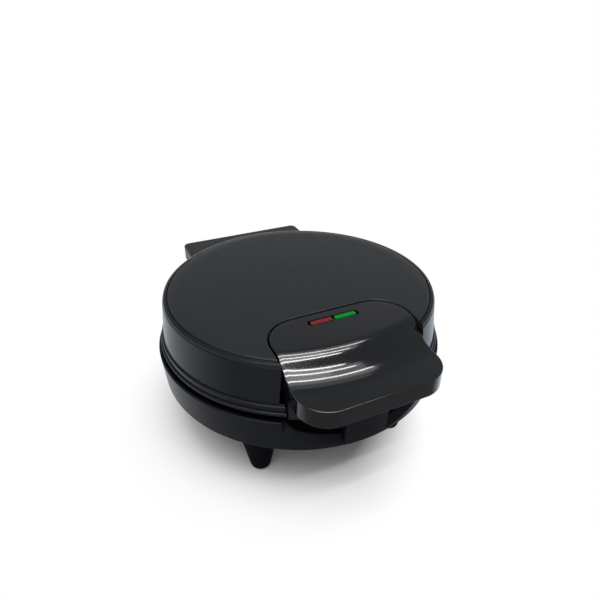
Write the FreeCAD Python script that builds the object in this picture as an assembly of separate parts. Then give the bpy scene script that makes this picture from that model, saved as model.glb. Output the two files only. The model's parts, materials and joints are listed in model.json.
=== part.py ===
"""Round donut maker: a hinged lid and a base, each with a moulded baking plate and a heater."""
import FreeCAD, Part
import math
import os
from FreeCAD import Vector

# Baking cups, the sizes that the rest of the body follows
cup_pitch = 58.0
cup_ring_radius = 17.0
cup_depth = 9.5
outer_cups = 6
plate_thickness = 3.0
cup_backing = 2.5
plate_seat_width = 5.0

# Heights, from the table upwards
foot_height = 17.0
bowl_height = 27.0
band_height = 24.0
parting_gap = 3.0
rim_height = 8.0
lid_wall_height = 24.0
shoulder_height = 3.0
crown = 1.5

# Widths of the mouldings, outwards from the baking plate
wall = 2.5
rim_width = 6.5
rim_step = 2.5
lid_draft = 2.5
shoulder_width = 3.5
base_overhang = 2.0
band_draft = 2.0
band_lip = 4.0
bowl_inset = 25.0
panel_seat_width = 8.0
panel_edge = 2.5
ledge_thickness = 2.0

# Handle
handle_width = 94.4
handle_overhang = 20.0
handle_root = 44.7
handle_root_corner = 21.4
handle_tip_corner = 19.5
handle_drop = 12.0
sweep_axis = 56.5
sweep_crest = 135.0
sweep_turn = 144.5
sweep_foot = 163.5
sweep_half_angle = 30.0
skirt_height = 12.0
skirt_back = 76.0
deck_thickness = 2.2
deck_margin = 5.0
grip_boss_offset = 30.0
grip_boss_inset = 10.5
deck_boss_offset = 33.0
deck_boss_inset = 19.3
boss_radius = 4.0

# Indicator lamps
lens_length = 16.4
lens_width = 4.0
lens_divider = 1.0
lens_proud = 0.2
lens_flange = 0.8
lens_foot = 1.2
lamp_radius = 2.6
lamp_length = 13.0
holder_depth = 8.0
holder_flange = 2.0

# Hinge
hinge_width = 109.0
hinge_overhang = 30.5
hinge_axis_inset = 9.5
hinge_drop = 11.3
hinge_corner = 5.0
ear_thickness = 9.0
ear_radius = 8.5
ear_web = 6.5
knuckle_radius = 9.2
pin_radius = 3.0
pin_engagement = 14.0
rear_block_height = 18.0
rear_block_drop = 12.5

# Heaters and their reflectors
heater_radius = 3.3
heater_gap_angle = 24.0
heater_leg = 10.0
reflector_thickness = 0.8
reflector_margin = 5.0
reflector_lip = 3.0
post_radius = 4.0
post_count = 3
post_bearing = 30.0
thermostat_radius = 8.0
thermostat_height = 8.0
thermostat_tab = 5.0
tab_width = 6.0
fuse_radius = 2.2
fuse_length = 16.0

# Feet, bottom cover, inlet and terminals
foot_ring_radius = 77.0
foot_bearing = 48.2
foot_pattern_turn = -3.0
foot_tip_radius = 6.6
foot_root_radius = 15.5
foot_rounding = 4.0
cover_radius = 64.0
cover_lap = 4.0
cover_screw_count = 4
inlet_radius = 7.0
inlet_bore = 3.6
inlet_flange = 2.0
terminal_length = 42.0
terminal_width = 18.0
terminal_height = 14.0
terminal_offset = 30.0
earth_tab_width = 8.0
earth_tab_height = 12.0
terminal_ways = 3
terminal_bore = 2.8

# Finger scoop and catch block at the front of the base
scoop_half_width = 53.0
scoop_corner = 12.0
scoop_drop = 16.6
scoop_depth = 7.0
scoop_tilt = 31.0
block_width = 30.0

# Fasteners
screw_radius = 1.5
screw_head_radius = 3.0
screw_head_height = 2.0
screw_length = 10.0

# Clearances
handle_gap = 0.6
notch_gap = 1.0
notch_draft = 2.6
lens_margin = 0.45
mouth_gap = 0.5
cup_gap = 2.0
cover_gap = 0.3
lens_gap = 0.15
pin_clearance = 0.05
ear_gap = 0.5
plate_gap = 0.5
screw_clearance = 0.3
seat_gap = 0.2
flange_thickness = 0.6
thread_clearance = 0.02
overlap = 0.5
reach_past = 60.0

# Levels
base_floor = foot_height
band_bottom = base_floor + bowl_height
band_top = band_bottom + band_height
parting = band_top + parting_gap / 2
rim_bottom = band_top + parting_gap
rim_top = rim_bottom + rim_height
shoulder_bottom = rim_top + lid_wall_height
shoulder_top = shoulder_bottom + shoulder_height
lid_top = shoulder_top + crown
plate_back = parting + plate_gap / 2 + plate_thickness
ledge_top = plate_back + ledge_thickness
seat_top = shoulder_top - panel_edge
seat_bottom = seat_top - wall
deck_top = seat_bottom + overlap
deck_bottom = deck_top - deck_thickness
cup_crown = parting + plate_gap / 2 + cup_depth + cup_backing
heater_level = cup_crown + heater_radius
reflector_level = heater_level + heater_radius
reflector_top = reflector_level + reflector_thickness

# Radii
cup_outer = cup_ring_radius + cup_depth + cup_backing
ledge_radius = cup_pitch + cup_outer + cup_gap
plate_radius = ledge_radius + plate_seat_width
mouth_radius = plate_radius + mouth_gap
rim_radius = mouth_radius + rim_width
lid_lower_radius = rim_radius - rim_step
lid_radius = lid_lower_radius - lid_draft
panel_radius = lid_radius - shoulder_width
panel_seat_radius = panel_radius - panel_seat_width
band_upper_radius = rim_radius + base_overhang
band_lower_radius = band_upper_radius - band_draft
lip_radius = band_lower_radius - band_lip
bowl_radius = lip_radius - bowl_inset
reflector_radius = ledge_radius - reflector_margin

# Handle and hinge places
handle_half = handle_width / 2
handle_reach = lid_lower_radius + handle_overhang
handle_top_level = shoulder_top + crown / 2
grip_level = handle_top_level - handle_drop
skirt_bottom = grip_level - skirt_height
hinge_half = hinge_width / 2
hinge_reach = rim_radius + hinge_overhang
hinge_y = hinge_reach - hinge_axis_inset
hinge_top = shoulder_bottom - hinge_drop
ear_inner = hinge_half - ear_thickness
knuckle_half = ear_inner - ear_gap
rear_block_top = parting - rear_block_drop
rear_block_bottom = rear_block_top - rear_block_height
axis_y = (handle_reach - hinge_reach) / 2
scoop_radius = band_upper_radius - scoop_depth
lens_reach = handle_root + wall + holder_flange + lamp_radius + wall / 2 + lens_margin
grip_boss_reach = handle_reach - grip_boss_inset
deck_boss_reach = handle_root + deck_boss_inset
post_ring = cup_pitch / math.sqrt(3)
UP = Vector(0, 0, 1)


def revolved(points):
    """Turn a closed outline of (radius, height) points about the middle axis."""
    corners = [Vector(r, 0, z) for r, z in points]
    face = Part.Face(Part.makePolygon(corners + corners[:1]))
    return face.revolve(Vector(0, 0, 0), UP, 360)


def box(x0, x1, y0, y1, z0, z1):
    """Make a box between two corners."""
    return Part.makeBox(x1 - x0, y1 - y0, z1 - z0, Vector(x0, y0, z0))


def rod(radius, length, start, direction=UP):
    """Make a round bar from a start point."""
    return Part.makeCylinder(radius, length, start, direction)


def ring(inner, outer, low, high):
    """Make a flat ring about the middle axis."""
    return revolved([(inner, low), (outer, low), (outer, high), (inner, high)])


def polar(radius, degrees, height):
    """Give a point by its radius and bearing, where bearing 0 is +X."""
    angle = math.radians(degrees)
    return Vector(radius * math.cos(angle), radius * math.sin(angle), height)


def joined(shapes):
    """Fuse solids into one clean solid."""
    return shapes[0].multiFuse(shapes[1:]).removeSplitter()


def rounded_prism(half, front, back, front_corner, back_corner, low, high):
    """Make an upright prism on a rectangle with its own corner radius at the front and back."""
    shaped = box(-half, half, front, back, low, high)
    for y, corner in ((back, back_corner), (front, front_corner)):
        if corner > 0:
            shaped = shaped.makeFillet(corner, upright_edges(shaped, y))
    return shaped


def upright_edges(shape, y):
    """Give the upright edges of a prism that lie at one depth."""
    found = []
    for edge in shape.Edges:
        points = [vertex.Point for vertex in edge.Vertexes]
        level = all(abs(p.y - y) < 1e-6 for p in points)
        if level and len(points) == 2 and abs(points[0].x - points[1].x) < 1e-6:
            found.append(edge)
    return found


def handle_plan(margin, low, high):
    """Make an upright prism on the handle's outline, grown by a margin."""
    return rounded_prism(handle_half + margin, -handle_reach - margin, -handle_root + margin,
                         handle_tip_corner + margin, handle_root_corner + margin, low, high)


def handle_notch(margin, low, high):
    """Make the handle's outline as a notch that runs out past the lid."""
    front = -handle_reach - reach_past
    return rounded_prism(handle_half + margin, front, -handle_root + margin,
                         0, handle_root_corner + margin, low, high)


def sweep_edges(lowered):
    """Give the handle's top line along the middle: flat deck, an S bend, then the flat grip."""
    high = handle_top_level - lowered
    low = grip_level - lowered
    bend = Part.BezierCurve()
    bend.setPoles([Vector(0, sweep_axis - sweep_crest, high), Vector(0, sweep_axis - sweep_turn, high),
                   Vector(0, sweep_axis - sweep_turn, low), Vector(0, sweep_axis - sweep_foot, low)])
    root = Vector(0, -handle_root + overlap, high)
    tip = Vector(0, -handle_reach - reach_past, low)
    return [Part.LineSegment(root, bend.StartPoint).toShape(), bend.toShape(),
            Part.LineSegment(bend.EndPoint, tip).toShape()]


def below_sweep(lowered):
    """Make the space under the handle's top, which bows forward about its own upright axis."""
    edges = sweep_edges(lowered)
    root = edges[0].Vertexes[0].Point
    tip = edges[-1].Vertexes[-1].Point
    low = skirt_bottom - 2 * overlap
    corners = [tip, Vector(0, tip.y, low), Vector(0, root.y, low), root]
    for first, second in zip(corners, corners[1:]):
        edges.append(Part.LineSegment(first, second).toShape())
    face = Part.Face(Part.Wire(Part.__sortEdges__(edges)))
    centre = Vector(0, sweep_axis, 0)
    face.rotate(centre, UP, -sweep_half_angle)
    return face.revolve(centre, UP, 2 * sweep_half_angle)


def under_sweep(lowered, floor):
    """Make a block as wide as the handle, under its top, with a stepped or flat floor."""
    corners = [Vector(0, y, z) for y, z in floor]
    corners += [Vector(0, floor[-1][0], lid_top), Vector(0, floor[0][0], lid_top)]
    face = Part.Face(Part.makePolygon(corners + corners[:1]))
    block = face.extrude(Vector(handle_width + 2 * overlap, 0, 0))
    block.translate(Vector(-handle_half - overlap, 0, 0))
    return block.common(below_sweep(lowered))


def screw(tip, direction, length=screw_length):
    """Make a pan head screw whose head sits at a point and whose shank runs along a direction."""
    back = Vector(direction) * -screw_head_height
    head = rod(screw_head_radius, screw_head_height, tip + back, direction)
    return joined([head, rod(screw_radius, length, tip, direction)])


def cup_centres():
    """Give the middle of each baking cup."""
    step = 360.0 / outer_cups
    return [Vector(0, 0, 0)] + [polar(cup_pitch, step * i, 0) for i in range(outer_cups)]


def post_centres():
    """Give the places of the posts, in the gaps between three cups."""
    step = 360.0 / post_count
    return [polar(post_ring, post_bearing + step * i, 0) for i in range(post_count)]


def mirrored(shape):
    """Turn a piece of the lid's baking stack into the matching piece of the base."""
    return shape.mirror(Vector(0, 0, parting), UP)


def baking_plate():
    """Make the lid's cast plate: ring cups that open downwards, backed bumps and screw posts."""
    face_level = parting + plate_gap / 2
    bodies = [rod(plate_radius, plate_thickness, Vector(0, 0, face_level))]
    cavities = []
    below = box(-plate_radius, plate_radius, -plate_radius, plate_radius,
                face_level - cup_outer, face_level)
    for centre in cup_centres():
        middle = centre + Vector(0, 0, face_level)
        bodies.append(Part.makeTorus(cup_ring_radius, cup_depth + cup_backing, middle))
        cavities.append(Part.makeTorus(cup_ring_radius, cup_depth, middle))
    for centre in post_centres():
        bodies.append(rod(post_radius, reflector_level - face_level, centre + Vector(0, 0, face_level)))
    plate = bodies[0].multiFuse(bodies[1:]).cut(below)
    for centre in post_centres():
        hole = rod(screw_radius + thread_clearance, screw_length + overlap,
                   centre + Vector(0, 0, reflector_level - screw_length - overlap))
        cavities.append(hole)
    return plate.cut(Part.makeCompound(cavities)).removeSplitter()


def heater():
    """Make the lid's tubular heater: an open ring with two upturned legs."""
    half_gap = heater_gap_angle / 2
    bend = Part.makeTorus(cup_pitch, heater_radius, Vector(0, 0, heater_level), UP,
                          -180, 180, 360 - heater_gap_angle)
    bend.rotate(Vector(0, 0, 0), UP, 90 + half_gap)
    legs = []
    for side in (-1, 1):
        foot = polar(cup_pitch, 90 + side * half_gap, heater_level)
        legs.append(rod(heater_radius, heater_leg, foot))
        legs.append(Part.makeSphere(heater_radius, foot))
    return joined([bend] + legs)


def reflector():
    """Make the lid's heat reflector: a dished disc over the heater, with holes for legs and screws."""
    disc = rod(reflector_radius, reflector_thickness, Vector(0, 0, reflector_level))
    lip = ring(reflector_radius - reflector_thickness, reflector_radius,
               reflector_level - reflector_lip, reflector_top)
    dish = joined([disc, lip])
    holes = []
    for side in (-1, 1):
        foot = polar(cup_pitch, 90 + side * heater_gap_angle / 2, heater_level)
        holes.append(rod(heater_radius + screw_clearance, heater_leg, foot))
    for centre in post_centres():
        holes.append(rod(screw_radius + screw_clearance, reflector_lip,
                         centre + Vector(0, 0, reflector_level - overlap)))
    return dish.cut(Part.makeCompound(holes))


def reflector_screws():
    """Make the screws that hold the lid's reflector to the plate's posts."""
    down = Vector(0, 0, -1)
    return [screw(centre + Vector(0, 0, reflector_top), down, screw_length - overlap)
            for centre in post_centres()]


def thermostat():
    """Make the snap disc thermostat with its two tabs, on the lid's reflector."""
    body = rod(thermostat_radius, thermostat_height, Vector(0, 0, reflector_top))
    tabs = []
    for side in (-1, 1):
        middle = side * thermostat_radius / 2
        half = reflector_thickness / 2
        top = reflector_top + thermostat_height
        tabs.append(box(middle - half, middle + half, -tab_width / 2, tab_width / 2,
                        top - overlap, top + thermostat_tab))
    return joined([body] + tabs)


def thermal_fuse():
    """Make the thermal cut-out in its sleeve, lying on the lid's reflector."""
    start = Vector(post_ring + screw_head_radius, -fuse_length / 2, reflector_top + fuse_radius)
    body = rod(fuse_radius, fuse_length, start, Vector(0, 1, 0))
    leads = rod(fuse_radius / 3, fuse_length * 2, start - Vector(0, fuse_length / 2, 0), Vector(0, 1, 0))
    return joined([body, leads])


def lid_outline():
    """Give the lid's outer line from rim to shoulder."""
    bead = rim_step / 2
    third = rim_height / 3
    return [(rim_radius - bead / 2, rim_bottom), (rim_radius, rim_bottom + bead / 2),
            (rim_radius, rim_bottom + third), (rim_radius - bead / 2, rim_bottom + third + bead / 2),
            (rim_radius - bead / 2, rim_bottom + 2 * third), (lid_lower_radius, rim_top),
            (lid_radius, shoulder_bottom), (lid_radius - bead / 2, shoulder_bottom + shoulder_height / 2),
            (panel_radius, shoulder_top)]


def lid_ring():
    """Make the lid's turned wall, with its plate ledge, rim and panel seat."""
    inner = [(panel_radius, seat_top), (panel_seat_radius, seat_top), (panel_seat_radius, seat_bottom),
             (lid_radius - wall, seat_bottom), (lid_lower_radius - wall, ledge_top),
             (ledge_radius, ledge_top), (ledge_radius, plate_back), (mouth_radius, plate_back),
             (mouth_radius, rim_bottom)]
    return revolved(lid_outline() + inner)


def handle_deck():
    """Make the shelf inside the lid that carries the root of the handle."""
    slab = rounded_prism(handle_half + deck_margin, -skirt_back + notch_gap, -handle_root + deck_margin,
                         0, handle_root_corner, deck_bottom, deck_top)
    slab = slab.common(rod(lid_radius - wall / 2, deck_thickness, Vector(0, 0, deck_bottom)))
    window = box(-holder_half() - seat_gap, holder_half() + seat_gap,
                 -lens_reach - holder_side() - seat_gap, -lens_reach + holder_side() + seat_gap,
                 deck_bottom - overlap, deck_top + overlap)
    holes = [rod(screw_radius + screw_clearance, deck_thickness + 2 * overlap,
                 Vector(side * deck_boss_offset, -deck_boss_reach, deck_bottom - overlap))
             for side in (-1, 1)]
    return slab.cut(Part.makeCompound([window] + holes))


def hinge_half_lid():
    """Make the lid's rear hinge block: a flat topped cover with a knuckle between the ears."""
    front = lid_lower_radius - rim_width
    cap = rounded_prism(hinge_half, front, hinge_reach, 0, hinge_corner,
                        parting + ear_radius + 2 * ear_gap, hinge_top)
    core = box(-knuckle_half, knuckle_half, front, hinge_reach - hinge_axis_inset + knuckle_radius,
               parting + parting_gap, hinge_top - overlap)
    barrel = rod(knuckle_radius, 2 * knuckle_half, Vector(-knuckle_half, hinge_y, parting), Vector(1, 0, 0))
    front_cut = box(-knuckle_half, knuckle_half, front, hinge_y - knuckle_radius,
                    parting - knuckle_radius, parting + parting_gap)
    block = joined([cap, core, barrel]).cut(front_cut)
    bores = []
    for side in (-1, 1):
        start = Vector(side * (knuckle_half + overlap), hinge_y, parting)
        bores.append(rod(pin_radius + pin_clearance, pin_engagement + overlap, start, Vector(-side, 0, 0)))
    return block.cut(Part.makeCompound(bores))


def drafted_notch():
    """Make the wall's opening beside the handle, which widens downwards."""
    narrow = handle_half + notch_gap
    wide = narrow + notch_draft
    corners = [Vector(-wide, 0, rim_top), Vector(wide, 0, rim_top),
               Vector(narrow, 0, shoulder_bottom), Vector(-narrow, 0, shoulder_bottom)]
    face = Part.Face(Part.makePolygon(corners + corners[:1]))
    opening = face.extrude(Vector(0, -handle_reach, 0))
    return opening.cut(rod(panel_seat_radius, lid_top, Vector(0, 0, 0)))


def lid_shell():
    """Make the lid's moulding: wall, rim, handle deck and rear hinge block."""
    inside = rod(lid_lower_radius - wall, shoulder_top, Vector(0, 0, 0))
    hinge = hinge_half_lid().cut(inside)
    low_notch = box(-handle_half - notch_gap, handle_half + notch_gap, -handle_reach, -handle_root,
                    rim_bottom - overlap, ledge_top + overlap)
    low_notch = low_notch.cut(rod(lid_lower_radius - wall, lid_top, Vector(0, 0, 0)))
    notch = handle_notch(notch_gap, ledge_top, lid_top)
    wall_ring = lid_ring().cut(low_notch).cut(notch).cut(drafted_notch())
    return joined([wall_ring, hinge, handle_deck()])


def lid_top_panel():
    """Make the crowned disc that closes the lid, notched for the handle."""
    sphere_radius = (panel_radius ** 2 + crown ** 2) / (2 * crown)
    dome = Part.makeSphere(sphere_radius, Vector(0, 0, lid_top - sphere_radius))
    disc = rod(panel_radius - seat_gap, panel_edge + crown, Vector(0, 0, seat_top)).common(dome)
    return disc.cut(handle_notch(handle_gap, seat_top - overlap, lid_top + overlap))


def handle_top():
    """Make the handle's upper moulding: lamp deck, S shaped sweep, grip and skirt."""
    floor = [(-handle_reach - overlap, skirt_bottom), (-skirt_back, skirt_bottom),
             (-skirt_back, deck_top + seat_gap), (-handle_root + overlap, deck_top + seat_gap)]
    outer = under_sweep(0, floor).common(handle_plan(0, skirt_bottom, lid_top))
    low = skirt_bottom - overlap
    flat_floor = [(-handle_reach - overlap, low), (-handle_root + overlap, low)]
    hollow = under_sweep(wall, flat_floor).common(handle_plan(-wall, low, lid_top))
    shell = outer.cut(hollow)
    bosses = []
    holes = []
    for x, y, low_end, high_end in handle_bosses():
        bosses.append(rod(boss_radius, high_end - low_end, Vector(x, y, low_end)))
        holes.append(rod(screw_radius + thread_clearance, high_end - overlap - low_end,
                         Vector(x, y, low_end)))
    shell = joined([shell] + [boss.common(outer) for boss in bosses])
    slot = box(-lens_length - lens_divider / 2 - lens_gap, lens_length + lens_divider / 2 + lens_gap,
               -lens_reach - lens_width / 2 - lens_gap, -lens_reach + lens_width / 2 + lens_gap,
               handle_top_level - wall - overlap, lid_top)
    bar = box(-lens_divider / 2 + lens_gap, lens_divider / 2 - lens_gap,
              -lens_reach - lens_width, -lens_reach + lens_width,
              handle_top_level - wall, handle_top_level - overlap)
    trimmed = shell.cut(slot).cut(Part.makeCompound(holes))
    return joined([trimmed, bar])


def handle_bosses():
    """Give the place and span of each screw boss in the handle: two in the grip, two at the deck."""
    spans = []
    for side in (-1, 1):
        spans.append((side * grip_boss_offset, -grip_boss_reach, skirt_bottom + wall,
                      grip_level - wall + overlap))
        spans.append((side * deck_boss_offset, -deck_boss_reach, deck_top + seat_gap,
                      handle_top_level - wall + overlap))
    return spans


def handle_bottom():
    """Make the handle's lower moulding: the grip's floor and the curved wall that fills the lid's notch."""
    inset = wall + cover_gap
    floor = handle_plan(-inset, skirt_bottom, skirt_bottom + wall)
    floor = floor.cut(rod(lid_lower_radius - wall, lid_top, Vector(0, 0, 0)))
    low = rim_bottom - 2 * overlap
    skirt = ring(lid_lower_radius - wall + seat_gap, rim_radius, low, skirt_bottom + overlap)
    front = box(-handle_half, handle_half, -rim_radius, -handle_root, low, skirt_bottom)
    inner = box(-handle_half + inset, handle_half - inset, -rim_radius, -handle_root,
                skirt_bottom - overlap, skirt_bottom + overlap)
    neck = skirt.common(joined([front, inner]))
    holes = [rod(screw_radius + screw_clearance, wall + overlap,
                 Vector(side * grip_boss_offset, -grip_boss_reach, skirt_bottom - overlap))
             for side in (-1, 1)]
    return joined([floor, neck]).cut(Part.makeCompound(holes))


def handle_screws():
    """Make the screws that hold the handle: two from under the grip and two from under the deck."""
    screws = []
    for side in (-1, 1):
        grip = Vector(side * grip_boss_offset, -grip_boss_reach, skirt_bottom)
        screws.append(screw(grip, UP, grip_level - wall - skirt_bottom))
        deck = Vector(side * deck_boss_offset, -deck_boss_reach, deck_bottom)
        screws.append(screw(deck, UP, handle_top_level - wall - deck_bottom))
    return screws


def lens(side):
    """Make one lamp lens, with a flange that sits under the handle's skin."""
    near = side * lens_divider / 2
    far = side * (lens_divider / 2 + lens_length)
    low = handle_top_level - wall - lens_foot
    window = box(min(near, far), max(near, far), -lens_reach - lens_width / 2,
                 -lens_reach + lens_width / 2, low, handle_top_level + lens_proud)
    outer_edges = [e for e in window.Edges if is_lens_end(e, far)]
    window = window.makeFillet(lens_width / 3, outer_edges)
    flange = box(min(near, far), max(near, far), -lens_reach - lens_width / 2 - lens_flange,
                 -lens_reach + lens_width / 2 + lens_flange, low, low + lens_foot - thread_clearance)
    return joined([window, flange])


def is_lens_end(edge, far):
    """Tell whether an edge is an upright edge at the outer end of a lens."""
    points = [vertex.Point for vertex in edge.Vertexes]
    return all(abs(p.x - far) < 1e-6 for p in points) and abs(points[0].z - points[1].z) > lens_proud


def holder_half():
    """Give half the length of the lamp holder."""
    return lens_length + lens_divider


def holder_side():
    """Give half the width of the lamp holder."""
    return lamp_radius + wall / 2


def holder_top():
    """Give the level of the lamp holder's rim, just under the lenses."""
    return handle_top_level - wall - lens_foot - seat_gap


def lamp_holder():
    """Make the trough that hangs in the deck under the lenses and holds both lamps."""
    low = deck_bottom - holder_depth
    body = box(-holder_half(), holder_half(), -lens_reach - holder_side(), -lens_reach + holder_side(),
               low, holder_top())
    side = holder_side() + holder_flange
    flange = box(-holder_half() - holder_flange, holder_half() + holder_flange,
                 -lens_reach - side, -lens_reach + side, deck_top, deck_top + flange_thickness)
    pockets = []
    for side in (-1, 1):
        near = side * lens_divider
        far = side * (holder_half() - lens_divider)
        pockets.append(box(min(near, far), max(near, far), -lens_reach - lamp_radius,
                           -lens_reach + lamp_radius, low + wall / 2, lid_top))
    return joined([body, flange]).cut(Part.makeCompound(pockets))


def neon_lamps():
    """Make the two glow lamps that lie in the holder's pockets."""
    level = deck_bottom - holder_depth + wall / 2 + lamp_radius
    starts = [Vector(side * holder_half() / 2 - lamp_length / 2, -lens_reach, level) for side in (-1, 1)]
    return [rod(lamp_radius - thread_clearance, lamp_length, start, Vector(1, 0, 0)) for start in starts]


def base_outline():
    """Give the base's outer line from the floor of the bowl to the top of the band."""
    return [(bowl_radius, base_floor), (lip_radius, band_bottom), (band_lower_radius, band_bottom),
            (band_upper_radius, band_top)]


def base_envelope():
    """Make the base's outer form as one solid, to trim what lies against it."""
    return revolved([(0, base_floor)] + base_outline() + [(0, band_top)])


def base_bowl():
    """Make the base's turned wall: bowl, band, plate ledge and the seat of the bottom cover."""
    low_ledge = 2 * parting - ledge_top
    seat = 2 * parting - plate_back
    inner = [(mouth_radius, band_top), (mouth_radius, seat), (ledge_radius, seat),
             (ledge_radius, low_ledge), (band_upper_radius - wall, low_ledge),
             (band_lower_radius - wall, band_bottom + wall), (lip_radius - wall, band_bottom + wall),
             (bowl_radius - wall, base_floor + wall), (cover_radius, base_floor + wall),
             (cover_radius, base_floor)]
    return revolved(base_outline() + inner)


def front_scoop():
    """Make the tilted cut under the handle that leaves finger room beside the catch block."""
    cut = box(-scoop_half_width, scoop_half_width, -reach_past, reach_past, 0, reach_past)
    sides = [e for e in cut.Edges if e.BoundBox.ZMax < overlap and e.BoundBox.YLength > reach_past]
    cut = cut.makeFillet(scoop_corner, sides)
    cut.rotate(Vector(0, 0, 0), Vector(1, 0, 0), scoop_tilt)
    cut.translate(Vector(0, -scoop_radius, band_top - scoop_drop))
    half = block_width / 2
    block = box(-half, half, -band_upper_radius - reach_past, 0, base_floor, band_top + reach_past)
    return cut.cut(Part.makeCompound([block, rod(scoop_radius, lid_top * 2, Vector(0, 0, 0))]))


def front_wall():
    """Make the thick front wall that the scoop is cut from."""
    low_ledge = 2 * parting - ledge_top
    sector = ring(scoop_radius - wall, band_upper_radius, band_bottom + wall / 2, low_ledge + overlap)
    span = box(-scoop_half_width, scoop_half_width, -band_upper_radius, -scoop_half_width,
               band_bottom, band_top)
    return sector.common(base_envelope()).common(span)


def hinge_half_base():
    """Make the base's rear block with its two upright hinge ears."""
    front = lip_radius - bowl_inset / 2
    block = rounded_prism(hinge_half, front, hinge_reach, 0, hinge_corner, rear_block_bottom, rear_block_top)
    pieces = [block]
    bores = []
    for side in (-1, 1):
        x0 = min(side * ear_inner, side * hinge_half)
        pieces.append(rod(ear_radius, ear_thickness, Vector(x0, hinge_y, parting), Vector(1, 0, 0)))
        pieces.append(box(x0, x0 + ear_thickness, hinge_y - ear_web, hinge_y + ear_web,
                          rear_block_top - overlap, parting))
        start = Vector(side * (ear_inner - overlap), hinge_y, parting)
        depth = ear_thickness - wall + overlap
        bores.append(rod(pin_radius + thread_clearance, depth, start, Vector(side, 0, 0)))
    return joined(pieces).cut(Part.makeCompound(bores))


def wiring_space():
    """Make the hollow of the rear block, open to the inside of the base."""
    return box(-hinge_half + wall, hinge_half - wall, 0, hinge_reach - wall,
               rear_block_bottom + wall, rear_block_top - wall)


def inlet_level():
    """Give the height of the cord inlet's middle."""
    return (rear_block_bottom + rear_block_top) / 2


def base_shell():
    """Make the base's moulding: bowl, band, scoop, catch block and rear hinge block."""
    low_ledge = 2 * parting - ledge_top
    inside = revolved([(0, base_floor), (bowl_radius - wall, base_floor + wall),
                       (lip_radius - wall, band_bottom + wall),
                       (band_lower_radius - wall, band_bottom + wall),
                       (band_upper_radius - wall, low_ledge), (0, low_ledge)])
    rear = hinge_half_base().cut(inside)
    shell = joined([base_bowl(), front_wall(), rear])
    lip_bore = rod(inlet_radius - inlet_flange + thread_clearance, wall + 2 * overlap,
                   Vector(0, hinge_reach - wall - overlap, inlet_level()), Vector(0, 1, 0))
    flange_seat = rod(inlet_radius + seat_gap, wall / 2 + overlap,
                      Vector(0, hinge_reach - wall / 2, inlet_level()), Vector(0, 1, 0))
    space = wiring_space().cut(rod(scoop_radius - wall - rim_width, lid_top, Vector(0, 0, 0)))
    shell = shell.cut(front_scoop()).cut(space)
    return shell.cut(Part.makeCompound([lip_bore, flange_seat]))


def cord_inlet():
    """Make the bush that the mains lead enters through."""
    flange = rod(inlet_radius, wall / 2, Vector(0, hinge_reach - wall / 2, inlet_level()), Vector(0, 1, 0))
    sleeve = rod(inlet_radius - inlet_flange, wall + inlet_flange,
                 Vector(0, hinge_reach - wall - inlet_flange, inlet_level()), Vector(0, 1, 0))
    bore = rod(inlet_bore, wall + inlet_flange + 2 * overlap,
               Vector(0, hinge_reach - wall - inlet_flange - overlap, inlet_level()), Vector(0, 1, 0))
    return joined([flange, sleeve]).cut(bore)


def bottom_cover():
    """Make the disc that closes the bowl from below, with a lap inside the opening."""
    disc = rod(cover_radius - cover_gap, wall, Vector(0, 0, base_floor))
    lap = rod(cover_radius + cover_lap, wall, Vector(0, 0, base_floor + wall))
    holes = [rod(screw_radius + screw_clearance, 3 * wall, point - Vector(0, 0, overlap))
             for point in cover_screw_points()]
    return joined([disc, lap]).cut(Part.makeCompound(holes))


def cover_screw_points():
    """Give the head seat of each screw of the bottom cover, on the cover's underside."""
    step = 360.0 / cover_screw_count
    return [polar(cover_radius - cover_lap * 2, step * i, base_floor) for i in range(cover_screw_count)]


def bottom_screws():
    """Make the screws of the bottom cover."""
    return [screw(point, UP) for point in cover_screw_points()]


def foot_bearings():
    """Give each foot's name and bearing."""
    even = {"foot_front_left": -180 + foot_bearing, "foot_front_right": -foot_bearing,
            "foot_rear_right": foot_bearing, "foot_rear_left": 180 - foot_bearing}
    return {name: bearing + foot_pattern_turn for name, bearing in even.items()}


def foot(bearing):
    """Make one tapered foot with a rounded tip, its top cut to the bowl."""
    place = polar(foot_ring_radius, bearing, 0)
    peg = Part.makeCone(foot_tip_radius, foot_root_radius, band_bottom - overlap, place)
    tip_edges = [e for e in peg.Edges if e.BoundBox.ZMax < overlap and len(e.Vertexes) == 1]
    return peg.makeFillet(foot_rounding, tip_edges).cut(base_envelope())


def hinge_pin(side):
    """Make one hinge pin, seated in an ear and turning in the lid's knuckle."""
    start = Vector(side * (knuckle_half - pin_engagement + overlap), hinge_y, parting)
    length = pin_engagement - overlap + ear_gap + ear_thickness - wall
    return rod(pin_radius, length, start, Vector(side, 0, 0))


def terminal_block():
    """Make the terminal block on the bottom cover, with its row of wire holes."""
    level = base_floor + 2 * wall
    body = box(-terminal_length / 2, terminal_length / 2, terminal_offset,
               terminal_offset + terminal_width, level, level + terminal_height)
    pitch = terminal_length / terminal_ways
    holes = [rod(terminal_bore, terminal_width + 2 * overlap,
                 Vector((i - (terminal_ways - 1) / 2) * pitch, terminal_offset - overlap,
                        level + terminal_height / 2),
                 Vector(0, 1, 0)) for i in range(terminal_ways)]
    return body.cut(Part.makeCompound(holes))


def earth_tab():
    """Make the earth tag, an angle of sheet on the bottom cover."""
    level = base_floor + 2 * wall
    edge = terminal_offset - terminal_width / 2
    base = box(-earth_tab_width / 2, earth_tab_width / 2, edge - earth_tab_width, edge, level,
               level + reflector_thickness)
    blade = box(-earth_tab_width / 2, earth_tab_width / 2, edge - reflector_thickness, edge, level,
                level + earth_tab_height)
    return joined([base, blade])


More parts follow.
